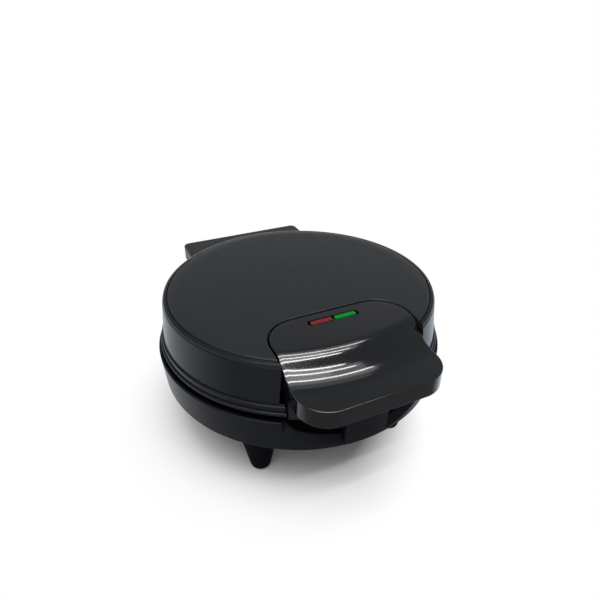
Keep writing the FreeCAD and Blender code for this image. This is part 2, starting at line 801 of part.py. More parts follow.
def assembly():
    """Build every node of the part by name."""
    nodes = {
        "lid_shell": lid_shell(),
        "lid_top_panel": lid_top_panel(),
        "handle_top": handle_top(),
        "handle_bottom": handle_bottom(),
        "handle_screws": Part.makeCompound(handle_screws()),
        "red_lens": lens(-1),
        "green_lens": lens(1),
        "lamp_holder": lamp_holder(),
        "neon_lamps": Part.makeCompound(neon_lamps()),
        "upper_baking_plate": baking_plate(),
        "upper_heater": heater(),
        "upper_reflector": reflector(),
        "upper_reflector_screws": Part.makeCompound(reflector_screws()),
        "thermostat": thermostat(),
        "thermal_fuse": thermal_fuse(),
        "base_shell": base_shell(),
        "bottom_cover": bottom_cover(),
        "bottom_screws": Part.makeCompound(bottom_screws()),
        "lower_baking_plate": mirrored(baking_plate()),
        "lower_heater": mirrored(heater()),
        "lower_reflector": mirrored(reflector()),
        "lower_reflector_screws": Part.makeCompound([mirrored(s) for s in reflector_screws()]),
        "hinge_pin_left": hinge_pin(-1),
        "hinge_pin_right": hinge_pin(1),
        "cord_inlet": cord_inlet(),
        "terminal_block": terminal_block(),
        "earth_tab": earth_tab(),
    }
    for name, bearing in foot_bearings().items():
        nodes[name] = foot(bearing)
    return nodes


def main():
    """Write one STEP file per node, with the origin under the middle of the whole part."""
    os.makedirs("parts", exist_ok=True)
    for name, shape in assembly().items():
        shape.translate(Vector(0, axis_y, 0))
        shape.exportStep(os.path.join("parts", name + ".step"))
        box_now = shape.optimalBoundingBox()
        print(name, len(shape.Solids), "valid" if shape.isValid() else "INVALID", round(shape.Volume),
              [round(v, 1) for v in (box_now.XMin, box_now.XMax, box_now.YMin, box_now.YMax,
                                     box_now.ZMin, box_now.ZMax)])


main()
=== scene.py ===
"""A round black donut maker on a white table: its outer mouldings, finishes, studio and camera."""

import json
import logging
import math
from dataclasses import asdict, dataclass
from enum import Enum
from functools import cache
from typing import Callable, Sequence, Union

import bmesh
import bpy
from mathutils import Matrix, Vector
from mathutils.geometry import delaunay_2d_cdt


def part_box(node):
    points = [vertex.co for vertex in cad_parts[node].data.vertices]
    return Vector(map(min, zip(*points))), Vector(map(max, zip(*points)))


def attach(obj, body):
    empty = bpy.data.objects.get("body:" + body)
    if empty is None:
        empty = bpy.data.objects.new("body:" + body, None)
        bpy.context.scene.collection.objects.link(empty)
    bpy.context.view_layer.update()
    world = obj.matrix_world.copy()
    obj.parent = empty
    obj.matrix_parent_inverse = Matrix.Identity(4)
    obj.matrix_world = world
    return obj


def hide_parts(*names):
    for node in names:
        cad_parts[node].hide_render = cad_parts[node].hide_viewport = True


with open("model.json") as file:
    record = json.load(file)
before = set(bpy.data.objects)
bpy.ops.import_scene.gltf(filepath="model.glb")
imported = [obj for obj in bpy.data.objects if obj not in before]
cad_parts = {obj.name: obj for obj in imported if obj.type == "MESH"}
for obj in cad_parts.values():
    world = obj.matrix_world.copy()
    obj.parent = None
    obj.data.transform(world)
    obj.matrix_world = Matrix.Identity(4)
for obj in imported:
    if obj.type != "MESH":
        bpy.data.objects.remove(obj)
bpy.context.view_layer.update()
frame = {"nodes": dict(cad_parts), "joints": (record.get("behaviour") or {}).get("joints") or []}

LOG = logging.getLogger("donut_maker")
MM = 0.001

Flat = tuple[float, float]
Corner = tuple[float, float, float]
Spot = tuple[float, float, float]
Colour = tuple[float, float, float]
Level = Callable[[float, float], float]
Bearings = Callable[[float, float], Sequence[float]]
Ring = tuple[float, Level]
Number = Union[float, "Socket"]

# Sizes that two sub-assemblies share, in millimetres
HANDLE_ROOT_CORNER = 21.4
EAR_THICKNESS = 9.0
EAR_RADIUS = 8.5

# The middle and the two grades of detail of a noise
NOISE_MIDDLE = 0.5
PLAIN_DETAIL = 2.0
CLOUDY_DETAIL = 3.0

# The sockets of a Mix node that carry colours
MIX_FIRST, MIX_SECOND, MIX_RESULT = 6, 7, 2

# How near two points are when a fill takes them for one, in millimetres
FILL_NEARNESS = 1e-6


class Body(Enum):
    """The two bodies that the hinge joins."""

    LID = "lid"
    BASE = "base"


class Plane(Enum):
    """The plane that a moulding's outline is drawn in, and so the way that its depth runs."""

    PLAN = "depth runs up"
    SIDE = "depth runs along x"
    REAR = "depth runs along y"


def mid_axis() -> float:
    """Give the y of the lid's middle axis, from the round baking plate, in metres."""
    low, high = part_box("upper_baking_plate")
    return (low.y + high.y) / 2


AXIS_Y = mid_axis()
HINGE = frame["joints"][0]["pos_m"]
HINGE_Y = HINGE[1] / MM - AXIS_Y / MM
PARTING = HINGE[2] / MM


def place(x: float, y: float, z: float) -> Vector:
    """Turn millimetres about the lid's axis into a point of the row frame in metres."""
    return Vector((x * MM, y * MM + AXIS_Y, z * MM))


def around(radius: float, bearing: float, height: float) -> Vector:
    """Give the point at a radius from the lid's axis, a bearing from the front and a height."""
    return place(radius * math.sin(bearing), -radius * math.cos(bearing), height)


def span(node: str) -> tuple[Vector, Vector]:
    """Give a node's lowest and highest corner in millimetres about the lid's axis.

    Args:
        node: The name of a node of the frame.

    Returns:
        The two corners.
    """
    shift = Vector((0, AXIS_Y, 0))
    low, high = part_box(node)
    return (low - shift) / MM, (high - shift) / MM


def arc(centre: Flat, radius: float, start: float, end: float, steps: int) -> list[Flat]:
    """Give points along an arc.

    Args:
        centre: The middle of the arc.
        radius: Its radius.
        start: The bearing of the first point in degrees.
        end: The bearing of the last point in degrees.
        steps: How many spans the arc has.

    Returns:
        The points, both ends included.
    """
    bearings = [math.radians(start + (end - start) * i / steps) for i in range(steps + 1)]
    return [(centre[0] + radius * math.cos(a), centre[1] + radius * math.sin(a)) for a in bearings]


def rounded(corners: Sequence[Corner], steps: int = 5, closed: bool = True) -> list[Flat]:
    """Round the corners of an outline.

    Args:
        corners: Each corner's two coordinates and its rounding radius.
        steps: How many spans a rounding has.
        closed: Whether the last corner joins the first.

    Returns:
        The rounded outline's points.
    """
    count = len(corners)
    points: list[Flat] = []
    for i, (u, v, radius) in enumerate(corners):
        at_end = not closed and i in (0, count - 1)
        if radius <= 0 or at_end:
            points.append((u, v))
            continue
        here = Vector((u, v))
        before = (Vector(corners[i - 1][:2]) - here).normalized()
        after = (Vector(corners[(i + 1) % count][:2]) - here).normalized()
        half = before.angle(after) / 2
        reach = radius / math.tan(half)
        middle = here + (before + after).normalized() * radius / math.sin(half)
        first, last = here + before * reach, here + after * reach
        start = math.atan2(first.y - middle.y, first.x - middle.x)
        turn = math.remainder(math.atan2(last.y - middle.y, last.x - middle.x) - start, math.tau)
        points += arc(tuple(middle), radius, math.degrees(start), math.degrees(start + turn), steps)
    return points


def rounded_box(half: float, low: float, high: float, corner: float, steps: int = 5) -> list[Flat]:
    """Give the outline of a box with rounded corners that is as wide to the left as to the right."""
    corners = [(half, low, corner), (half, high, corner), (-half, high, corner), (-half, low, corner)]
    return rounded(corners, steps)


def inside(point: Flat, outline: Sequence[Flat]) -> bool:
    """Tell whether a point lies in a closed outline.

    Args:
        point: The point.
        outline: The outline's points in order.

    Returns:
        True for a point inside.
    """
    u, v = point
    found = False
    for (u0, v0), (u1, v1) in zip(outline, [*outline[1:], outline[0]]):
        if (v0 > v) != (v1 > v) and u < (u1 - u0) * (v - v0) / (v1 - v0) + u0:
            found = not found
    return found


def spread(low: float, high: float, step: float) -> list[float]:
    """Give evenly spaced values from low to high, about a step apart."""
    count = max(1, round((high - low) / step))
    return [low + (high - low) * i / count for i in range(count + 1)]


class Socket:
    """A shader node's output with Python arithmetic, where each operation adds a Math node."""

    def __init__(self, shader: "Shader", link: bpy.types.NodeSocket) -> None:
        """Keep the shader and the socket."""
        self.shader = shader
        self.link = link

    def _math(self, operation: str, first: Number, second: Number) -> "Socket":
        """Add a Math node on two values."""
        return self.shader.node("Math", {"operation": operation}, {0: first, 1: second})

    def __add__(self, other: Number) -> "Socket":
        """Add."""
        return self._math("ADD", self, other)

    def __radd__(self, other: Number) -> "Socket":
        """Add, with the number first."""
        return self._math("ADD", other, self)

    def __sub__(self, other: Number) -> "Socket":
        """Subtract."""
        return self._math("SUBTRACT", self, other)

    def __rsub__(self, other: Number) -> "Socket":
        """Subtract from a number."""
        return self._math("SUBTRACT", other, self)

    def __mul__(self, other: Number) -> "Socket":
        """Multiply."""
        return self._math("MULTIPLY", self, other)

    def __rmul__(self, other: Number) -> "Socket":
        """Multiply, with the number first."""
        return self._math("MULTIPLY", other, self)

    def __truediv__(self, other: Number) -> "Socket":
        """Divide."""
        return self._math("DIVIDE", self, other)

    def __rtruediv__(self, other: Number) -> "Socket":
        """Divide a number by this."""
        return self._math("DIVIDE", other, self)

    def __pow__(self, other: Number) -> "Socket":
        """Raise to a power."""
        return self._math("POWER", self, other)

    def __rpow__(self, other: Number) -> "Socket":
        """Raise a number to this power."""
        return self._math("POWER", other, self)

    def highest(self, other: Number) -> "Socket":
        """Give the larger of two values."""
        return self._math("MAXIMUM", self, other)

    def limited(self) -> "Socket":
        """Keep the value between 0 and 1."""
        return self.shader.node("Clamp", {}, {0: self})


class Shader:
    """One node tree and the way that its nodes are made."""

    def __init__(self, owner: Union[bpy.types.Material, bpy.types.World]) -> None:
        """Empty the owner's node tree.

        Args:
            owner: The material or world.
        """
        owner.use_nodes = True
        self.tree = owner.node_tree
        self.tree.nodes.clear()

    def node(self, kind: str, settings: dict, inputs: dict, output: Union[int, str] = 0) -> Socket:
        """Add a node.

        Args:
            kind: The node's type, without its common prefix.
            settings: What is set on the node itself first. A ramp's stops go under "stops".
            inputs: The value or link of each socket, by name or number.
            output: The output that is handed on.

        Returns:
            That output.
        """
        made = self.tree.nodes.new("ShaderNode" + kind)
        for name, value in settings.items():
            if name == "stops":
                self._stops(made.color_ramp, value)
            else:
                setattr(made, name, value)
        for name, value in inputs.items():
            if isinstance(value, Socket):
                self.tree.links.new(value.link, made.inputs[name])
            else:
                made.inputs[name].default_value = value
        return Socket(self, made.outputs[output])

    @staticmethod
    def _stops(ramp: bpy.types.ColorRamp, stops: Sequence[Flat]) -> None:
        """Set a grey ramp's stops.

        Args:
            ramp: The ramp.
            stops: The place and level of each stop.
        """
        while len(ramp.elements) < len(stops):
            ramp.elements.new(1.0)
        for element, (spot, level) in zip(ramp.elements, stops):
            element.position = spot
            element.color = (level, level, level, 1.0)

    def blend(self, share: Number, first: Colour, second: Colour) -> Socket:
        """Mix two colours by a share."""
        inputs = {0: share, MIX_FIRST: (*first, 1), MIX_SECOND: (*second, 1)}
        return self.node("Mix", {"data_type": "RGBA"}, inputs, MIX_RESULT)

    def place(self) -> Socket:
        """Give the point on the surface, in the object's own metres."""
        return self.node("TexCoord", {}, {}, "Object")

    def axis(self, spot: Socket, name: str) -> Socket:
        """Give one coordinate of a point."""
        return self.node("SeparateXYZ", {}, {0: spot}, name)

    def noise(self, size: float, detail: float = PLAIN_DETAIL, rough: float = 0.5) -> Socket:
        """Give a soft noise whose blotches are about as large as a size in millimetres."""
        inputs = {"Vector": self.place(), "Scale": 1 / (size * MM), "Detail": detail, "Roughness": rough}
        return self.node("TexNoise", {}, inputs)

    def bump(self, height: Socket, depth: float, strength: float = 1.0) -> Socket:
        """Turn a height of 0 to 1 into a normal, with a depth in millimetres."""
        return self.node("Bump", {}, {"Strength": strength, "Distance": depth * MM, "Height": height})

    def finish(self, surface: Socket, target: str = "Material") -> None:
        """Add the output node and link a surface to it."""
        made = self.tree.nodes.new("ShaderNodeOutput" + target)
        self.tree.links.new(surface.link, made.inputs["Surface"])


class Finish:
    """A surface finish that makes its material once and hands out the same one."""

    name: str

    @cache
    def material(self) -> bpy.types.Material:
        """Make the finish's material at the first call and hand out the same one later.

        Returns:
            The material.
        """
        made = bpy.data.materials.new(self.name)
        shader = Shader(made)
        shader.finish(self.surface(shader))
        return made

    def surface(self, shader: Shader) -> Socket:
        """Add the finish's nodes and give their shader."""
        raise NotImplementedError


@dataclass(frozen=True)
class MouldedPlastic(Finish):
    """Moulded plastic: a dark colour that drifts a little, an uneven gloss and a moulded grain."""

    name: str
    colour: Colour
    roughness: float
    drift: float = 1.5
    unevenness: float = 0.05
    grain_size: float = 0.5
    grain_depth: float = 0.01
    specular: float = 0.3
    coat: float = 0.0
    coat_roughness: float = 0.05
    cloud_size: float = 22.0
    cloud_share: float = 0.6
    ripple_size: float = 9.0

    def surface(self, shader: Shader) -> Socket:
        """Add the plastic's nodes.

        Args:
            shader: The material's shader.

        Returns:
            The plastic's shader output.
        """
        cloud = shader.noise(self.cloud_size, CLOUDY_DETAIL)
        fine = shader.noise(self.grain_size)
        lighter = tuple(c * self.drift for c in self.colour)
        speck = (cloud * self.cloud_share + fine * (1 - self.cloud_share)).limited()
        ripple = shader.noise(self.ripple_size)
        drift = (ripple - NOISE_MIDDLE) * self.unevenness
        rough = self.roughness + drift + (fine - NOISE_MIDDLE) * self.unevenness
        inputs = {
            "Base Color": shader.blend(speck, self.colour, lighter),
            "Roughness": rough.limited(),
            "Specular IOR Level": self.specular,
            "Coat Weight": self.coat,
            "Coat Roughness": self.coat_roughness,
            "Normal": shader.bump(fine, self.grain_depth),
        }
        return shader.node("BsdfPrincipled", {}, inputs)


@dataclass(frozen=True)
class ScoopShadedPlastic(MouldedPlastic):
    """Moulded plastic with painted shade: its inner walls in the scoop are painted near black and matt.

    The painted shade lies above a level and inside a radius, which is wider on the top ledge.
    The radii, levels and soft edges are in millimetres.
    """

    inner_radius: float = 97.6
    inner_level: float = 46.0
    top_radius: float = 102.2
    top_level: float = 67.6
    top_edge: float = 0.3
    edge: float = 1.0
    # painted shade: the near black colour of the scoop's inner walls, standing in for the shade under the
    # handle
    matt: Colour = (0.0016, 0.0018, 0.0022)

    def surface(self, shader: Shader) -> Socket:
        """Add the plastic's nodes and those of the painted shade.

        Args:
            shader: The material's shader.

        Returns:
            The mix of both.
        """
        # The scoop's inner walls get a near black matt diffuse: painted shade where the handle shades the
        # recess
        across, along, height = (shader.axis(shader.place(), name) for name in "XYZ")
        along = along - AXIS_Y
        radius = (across * across + along * along) ** 0.5
        on_top = ((height - self.top_level * MM) / (self.top_edge * MM)).limited()
        limit = self.inner_radius * MM + on_top * (self.top_radius - self.inner_radius) * MM
        inward = ((limit - radius) / (self.edge * MM)).limited()
        above = ((height - self.inner_level * MM) / (self.edge * MM)).limited()
        matt = shader.node("BsdfDiffuse", {}, {"Color": (*self.matt, 1.0)})
        return shader.node("MixShader", {}, {0: inward * above, 1: super().surface(shader), 2: matt})


@dataclass(frozen=True)
class LampLens(Finish):
    """Tinted plastic over a lamp, with fine ribs and a faint cloudiness."""

    name: str
    bright: Colour
    deep: Colour
    rib_pitch: float = 1.3
    rib_share: float = 0.35
    rib_depth: float = 0.02
    rib_strength: float = 0.3
    cloud_size: float = 3.0
    cloud_share: float = 0.5
    roughness: float = 0.16
    haze_size: float = 2.0
    haze: float = 0.12
    specular: float = 0.12

    def surface(self, shader: Shader) -> Socket:
        """Add the lens's nodes.

        Args:
            shader: The material's shader.

        Returns:
            The lens's shader output.
        """
        turns = shader.axis(shader.place(), "X") * (math.tau / (self.rib_pitch * MM))
        wave = shader.node("Math", {"operation": "SINE"}, {0: turns})
        cloud = shader.noise(self.cloud_size) * self.cloud_share
        ribs = (wave * 0.5 + 0.5) * self.rib_share + cloud
        inputs = {
            "Base Color": shader.blend(ribs.limited(), self.bright, self.deep),
            "Roughness": (self.roughness + shader.noise(self.haze_size) * self.haze).limited(),
            "Specular IOR Level": self.specular,
            "Normal": shader.bump(wave, self.rib_depth, self.rib_strength),
        }
        return shader.node("BsdfPrincipled", {}, inputs)


@dataclass(frozen=True)
class NonStick(Finish):
    """A baked non-stick coating: warm black with fine pale specks and a dull pebbled skin."""

    name: str
    colour: Colour = (0.018, 0.017, 0.016)
    speck_colour: Colour = (0.11, 0.105, 0.1)
    speck_size: float = 0.9
    speck_detail: float = 1.0
    speck_stops: tuple[Flat, Flat] = ((0.62, 0.0), (0.72, 1.0))
    speck_share: float = 0.5
    pebble_size: float = 0.7
    pebble_rough: float = 0.6
    pebble_depth: float = 0.03
    pebble_strength: float = 0.5
    pebble_drift: float = 0.06
    cloud_size: float = 14.0
    cloud_drift: float = 0.14
    roughness: float = 0.42
    specular: float = 0.4

    def surface(self, shader: Shader) -> Socket:
        """Add the coating's nodes.

        Args:
            shader: The material's shader.

        Returns:
            The coating's shader output.
        """
        pebbles = shader.noise(self.pebble_size, CLOUDY_DETAIL, self.pebble_rough)
        spots = shader.noise(self.speck_size, self.speck_detail)
        specks = shader.node("ValToRGB", {"stops": self.speck_stops}, {0: spots})
        cloud = shader.noise(self.cloud_size, CLOUDY_DETAIL) * self.cloud_drift
        inputs = {
            "Base Color": shader.blend(specks * self.speck_share, self.colour, self.speck_colour),
            "Roughness": (self.roughness + cloud + pebbles * self.pebble_drift).limited(),
            "Specular IOR Level": self.specular,
            "Normal": shader.bump(pebbles, self.pebble_depth, self.pebble_strength),
        }
        return shader.node("BsdfPrincipled", {}, inputs)


@dataclass(frozen=True)
class BareMetal(Finish):
    """Rolled or drawn metal with a stretched grain, light stains and a part polished surface."""

    name: str
    colour: Colour
    roughness: float
    stretch: Spot = (1.0, 0.06, 1.0)
    grain_size: float = 0.4
    grain_drift: float = 0.16
    grain_depth: float = 0.008
    grain_strength: float = 0.4
    stain_size: float = 11.0
    stain_share: float = 0.7
    stain_drift: float = 0.1
    stain_shade: float = 0.72

    def surface(self, shader: Shader) -> Socket:
        """Add the metal's nodes.

        Args:
            shader: The material's shader.

        Returns:
            The metal's shader output.
        """
        stretched = shader.node("VectorMath", {"operation": "MULTIPLY"}, {0: shader.place(), 1: self.stretch})
        grain_inputs = {"Vector": stretched, "Scale": 1 / (self.grain_size * MM), "Detail": CLOUDY_DETAIL}
        grain = shader.node("TexNoise", {}, grain_inputs)
        stain = shader.noise(self.stain_size, CLOUDY_DETAIL)
        darker = tuple(c * self.stain_shade for c in self.colour)
        clean = (stain * self.stain_share + grain * (1 - self.stain_share)).limited()
        rough = self.roughness + (grain - NOISE_MIDDLE) * self.grain_drift
        inputs = {
            "Base Color": shader.blend(clean, darker, self.colour),
            "Metallic": 1.0,
            "Roughness": (rough + (stain - NOISE_MIDDLE) * self.stain_drift).limited(),
            "Normal": shader.bump(grain, self.grain_depth, self.grain_strength),
        }
        return shader.node("BsdfPrincipled", {}, inputs)


@dataclass(frozen=True)
class LampGlass(Finish):
    """Clear thin glass of a small glow lamp, faintly clouded."""

    name: str
    colour: Colour = (0.82, 0.78, 0.72)
    cloud_size: float = 2.5
    cloud_lift: float = 1.12
    roughness: float = 0.04
    cloud_drift: float = 0.1
    clearness: float = 0.85
    bending: float = 1.48

    def surface(self, shader: Shader) -> Socket:
        """Add the glass's nodes.

        Args:
            shader: The material's shader.

        Returns:
            The glass's shader output.
        """
        cloud = shader.noise(self.cloud_size)
        paler = tuple(min(1.0, c * self.cloud_lift) for c in self.colour)
        inputs = {
            "Base Color": shader.blend(cloud, self.colour, paler),
            "Roughness": (self.roughness + cloud * self.cloud_drift).limited(),
            "Transmission Weight": self.clearness,
            "IOR": self.bending,
        }
        return shader.node("BsdfPrincipled", {}, inputs)


class MeshBuilder:
    """Gathers points and faces for one piece and makes its object."""

    def __init__(self) -> None:
        """Start with nothing."""
        self.points: list[Vector] = []
        self.faces: list[tuple[int, ...]] = []

    def row(self, points: Sequence[Vector]) -> list[int]:
        """Add a row of points.

        Args:
            points: The points in order.

        Returns:
            Their numbers.
        """
        start = len(self.points)
        self.points += points
        return list(range(start, start + len(points)))

    def skin(self, rows: Sequence[Sequence[int]], ring: bool = True, tube: bool = False) -> None:
        """Join rows of points with four-sided faces.

        Args:
            rows: Rows of point numbers, all as long as each other.
            ring: Whether each row closes on itself.
            tube: Whether the last row joins the first.
        """
        pairs = list(zip(rows, rows[1:])) + ([(rows[-1], rows[0])] if tube else [])
        for first, second in pairs:
            count = len(first)
            for i in range(count if ring else count - 1):
                j = (i + 1) % count
                self.faces.append((first[i], first[j], second[j], second[i]))

    def object(self, name: str, merge: float = 0.0005, sharp: float = 42.0) -> bpy.types.Object:
        """Make the object: merged points, outward faces, smooth shading that breaks at sharp edges.

        Args:
            name: The piece's name.
            merge: How near two points are when they become one, in millimetres.
            sharp: The angle in degrees from which an edge is drawn sharp.

        Returns:
            The object, linked to the scene.
        """
        mesh = bpy.data.meshes.new(name)
        mesh.from_pydata(self.points, [], self.faces)
        self._clean(mesh, merge)
        mesh.shade_smooth()
        mesh.set_sharp_from_angle(angle=math.radians(sharp))
        made = bpy.data.objects.new(name, mesh)
        bpy.context.scene.collection.objects.link(made)
        weighted = made.modifiers.new("even_normals", "WEIGHTED_NORMAL")
        weighted.keep_sharp = True
        return made

    @staticmethod
    def _clean(mesh: bpy.types.Mesh, merge: float) -> None:
        """Merge points that meet, drop faces with no area and turn the rest outwards.

        Args:
            mesh: The mesh.
            merge: How near two points are when they become one, in millimetres.
        """
        work = bmesh.new()
        work.from_mesh(mesh)
        bmesh.ops.remove_doubles(work, verts=work.verts, dist=merge * MM)
        bmesh.ops.dissolve_degenerate(work, dist=merge * MM, edges=work.edges)
        bmesh.ops.recalc_face_normals(work, faces=work.faces)
        work.to_mesh(mesh)
        work.free()


@dataclass
class Moulding:
    """A moulded piece on an outline: rings of the outline drawn in by steps, closed by a filled face."""

    outline: Callable[[float], list[Flat]]
    rings: Sequence[Ring]
    plane: Plane = Plane.PLAN
    spacing: Flat = (6.0, 6.0)
    bottom: bool = True
    holes: Sequence[Sequence[Flat]] = ()
    hole_rings: Sequence[float] = ()

    def spot(self, u: float, v: float, depth: float) -> Vector:
        """Give a point of the row frame.

        Args:
            u: The outline's first coordinate.
            v: Its second coordinate.
            depth: How deep the point lies.

        Returns:
            The point.
        """
        if self.plane is Plane.PLAN:
            return place(u, v, depth)
        if self.plane is Plane.SIDE:
            return place(depth, u, v)
        return place(u, depth, v)

    def piece(self, name: str) -> bpy.types.Object:
        """Build the moulding as a piece of its own.

        Args:
            name: The piece's name.

        Returns:
            The piece.
        """
        builder = MeshBuilder()
        rows = []
        for inset, level in self.rings:
            rows.append(builder.row([self.spot(u, v, level(u, v)) for u, v in self.outline(inset)]))
        builder.skin(rows)
        self._fill(builder, *self.rings[-1], self.holes)
        top = self.rings[-1][1]
        for hole in self.holes:
            walls = [builder.row([self.spot(u, v, top(u, v) - drop) for u, v in hole])
                     for drop in (0.0, *self.hole_rings)]
            builder.skin(walls)
        if self.bottom:
            self._fill(builder, *self.rings[0], ())
        return builder.object(name)

    def _fill(self, builder: MeshBuilder, inset: float, level: Level,
              holes: Sequence[Sequence[Flat]]) -> None:
        """Fill a ring with small triangles that follow the level.

        Args:
            builder: What gathers the faces.
            inset: The ring's inset.
            level: The surface's depth at a point.
            holes: Outlines that stay open.
        """
        border = self.outline(inset)
        margin = min(self.spacing) / 3
        inner = self.outline(inset + margin)
        points = [Vector(p) for p in border]
        edges = [(i, (i + 1) % len(border)) for i in range(len(border))]
        for hole in holes:
            start = len(points)
            points += [Vector(p) for p in hole]
            edges += [(start + i, start + (i + 1) % len(hole)) for i in range(len(hole))]
        us, vs = [p[0] for p in border], [p[1] for p in border]
        for u in spread(min(us), max(us), self.spacing[0]):
            for v in spread(min(vs), max(vs), self.spacing[1]):
                if inside((u, v), inner) and not any(inside((u, v), hole) for hole in holes):
                    points.append(Vector((u, v)))
        filled, _, triangles, *_ = delaunay_2d_cdt(points, edges, [], 0, FILL_NEARNESS)
        numbers = builder.row([self.spot(p.x, p.y, level(p.x, p.y)) for p in filled])
        for corners in triangles:
            middle = sum((filled[i] for i in corners), Vector((0, 0))) / len(corners)
            if inside(middle, border) and not any(inside(middle, hole) for hole in holes):
                builder.faces.append(tuple(numbers[i] for i in corners))


def flat(depth: float) -> Level:
    """Give a level that is the same everywhere."""
    return lambda u, v: depth


def lowered(level: Level, drop: float) -> Level:
    """Give a level that lies a fixed drop under another."""
    return lambda u, v: level(u, v) - drop


def upper_edge(radius: float, level: Level, steps: int = 5, way: int = 1) -> list[Ring]:
    """Give the rings of a rounded edge between an upright side and a face.

    Args:
        radius: The rounding.
        level: The face's depth at a point.
        steps: How many spans the rounding has.
        way: 1 where the face is above the side, and -1 where it is below.

    Returns:
        The rings from the side to the face.
    """
    rings = []
    for i in range(steps + 1):
        turn = math.radians(90.0 * i / steps)
        inset, drop = radius * (1 - math.cos(turn)), radius * (1 - math.sin(turn))
        rings.append((inset, lowered(level, way * drop)))
    return rings


def lower_edge(radius: float, level: Level) -> list[Ring]:
    """Give the rings of a rounded edge from a lower face up to an upright side."""
    return list(reversed(upper_edge(radius, level, way=-1)))


def turned(builder: MeshBuilder, profile: Sequence[Flat], bearings: Bearings) -> list[list[int]]:
    """Turn a closed profile part of the way about the lid's axis.

    Args:
        builder: What gathers the faces.
        profile: The (radius, height) points.
        bearings: The bearings in radians, from the front, of the points at a radius and height.

    Returns:
        The rows of point numbers, one for each profile point.
    """
    rows = []
    for radius, height in profile:
        rows.append(builder.row([around(radius, a, height) for a in bearings(radius, height)]))
    builder.skin(rows, ring=False, tube=True)
    return rows


@dataclass
class SubAssembly:
    """A group of pieces that ride one body."""

    body: Body

    def keep(self, piece: bpy.types.Object, finish: Finish, slot: str, *nodes: str) -> None:
        """Dress a piece, put it on the body and hide the nodes that it stands for.

        Args:
            piece: The piece.
            finish: Its finish.
            slot: The record's material slot; not used.
            nodes: The nodes that it replaces.
        """
        piece.data.materials.append(finish.material())
        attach(piece, self.body.value)
        if nodes:
            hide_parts(*nodes)
        LOG.info("built %s on %s", piece.name, self.body.value)


GRAINED_PANEL = MouldedPlastic(
    "grained_panel", colour=(0.0095, 0.011, 0.0125), roughness=0.4, drift=1.4, unevenness=0.14,
    grain_size=0.45, grain_depth=0.025, specular=0.28)
SATIN_LID = MouldedPlastic(
    "satin_lid", colour=(0.0085, 0.0096, 0.0116), roughness=0.2, drift=1.4, unevenness=0.06,
    grain_size=0.6, grain_depth=0.004, specular=0.17)
GLOSS_HANDLE = MouldedPlastic(
    "gloss_handle", colour=(0.003, 0.0037, 0.005), roughness=0.12, drift=1.3, unevenness=0.02,
    grain_size=0.8, grain_depth=0.001, specular=0.4, coat=0.8)
SATIN_BASE = MouldedPlastic(
    "satin_base", colour=(0.0072, 0.0082, 0.0106), roughness=0.28, drift=1.4, unevenness=0.06,
    grain_size=0.6, grain_depth=0.005, specular=0.13)
# The base's satin plastic, with painted shade on the scoop's inner walls
SCOOP_SHADED_BASE = ScoopShadedPlastic(**(asdict(SATIN_BASE) | {"name": "scooped_base"}))
FOOT_RUBBER = MouldedPlastic(
    "foot_rubber", colour=(0.002, 0.0024, 0.0035), roughness=0.6, drift=1.6, unevenness=0.1,
    grain_size=0.7, grain_depth=0.02, specular=0.05)
RED_LENS = LampLens("red_lens_plastic", bright=(0.155, 0.019, 0.021), deep=(0.085, 0.0095, 0.011))
GREEN_LENS = LampLens("green_lens_plastic", bright=(0.0003, 0.2, 0.018), deep=(0.0003, 0.135, 0.011))


@dataclass(frozen=True)
class LidTrim:
    """The fine trim on the lid's outer line, from the rim up to the panel seam, in millimetres."""

    rim_draw: float = 0.2
    rim_edge: float = 0.9
    bead_edge: float = 0.7
    step_edge: float = 0.4
    groove: float = 0.8
    groove_height: float = 1.0
    groove_slope: float = 0.1
    groove_edge: float = 0.2
    bead_drop: float = 1.2
    foot_edge: float = 0.3
    neck: float = 0.45
    neck_slope: float = 0.05
    neck_height: float = 0.4
    neck_edge: float = 0.1
    neck_top: float = 0.5
    neck_draw: float = 0.15
    wall_edge: float = 0.2
    shoulder_share: float = 0.25
    shoulder_drop: float = 0.8
    shoulder_edge: float = 0.9
    seam: float = 0.6
    seam_drop: float = 0.1
    seam_edge: float = 0.3
    spans: int = 6


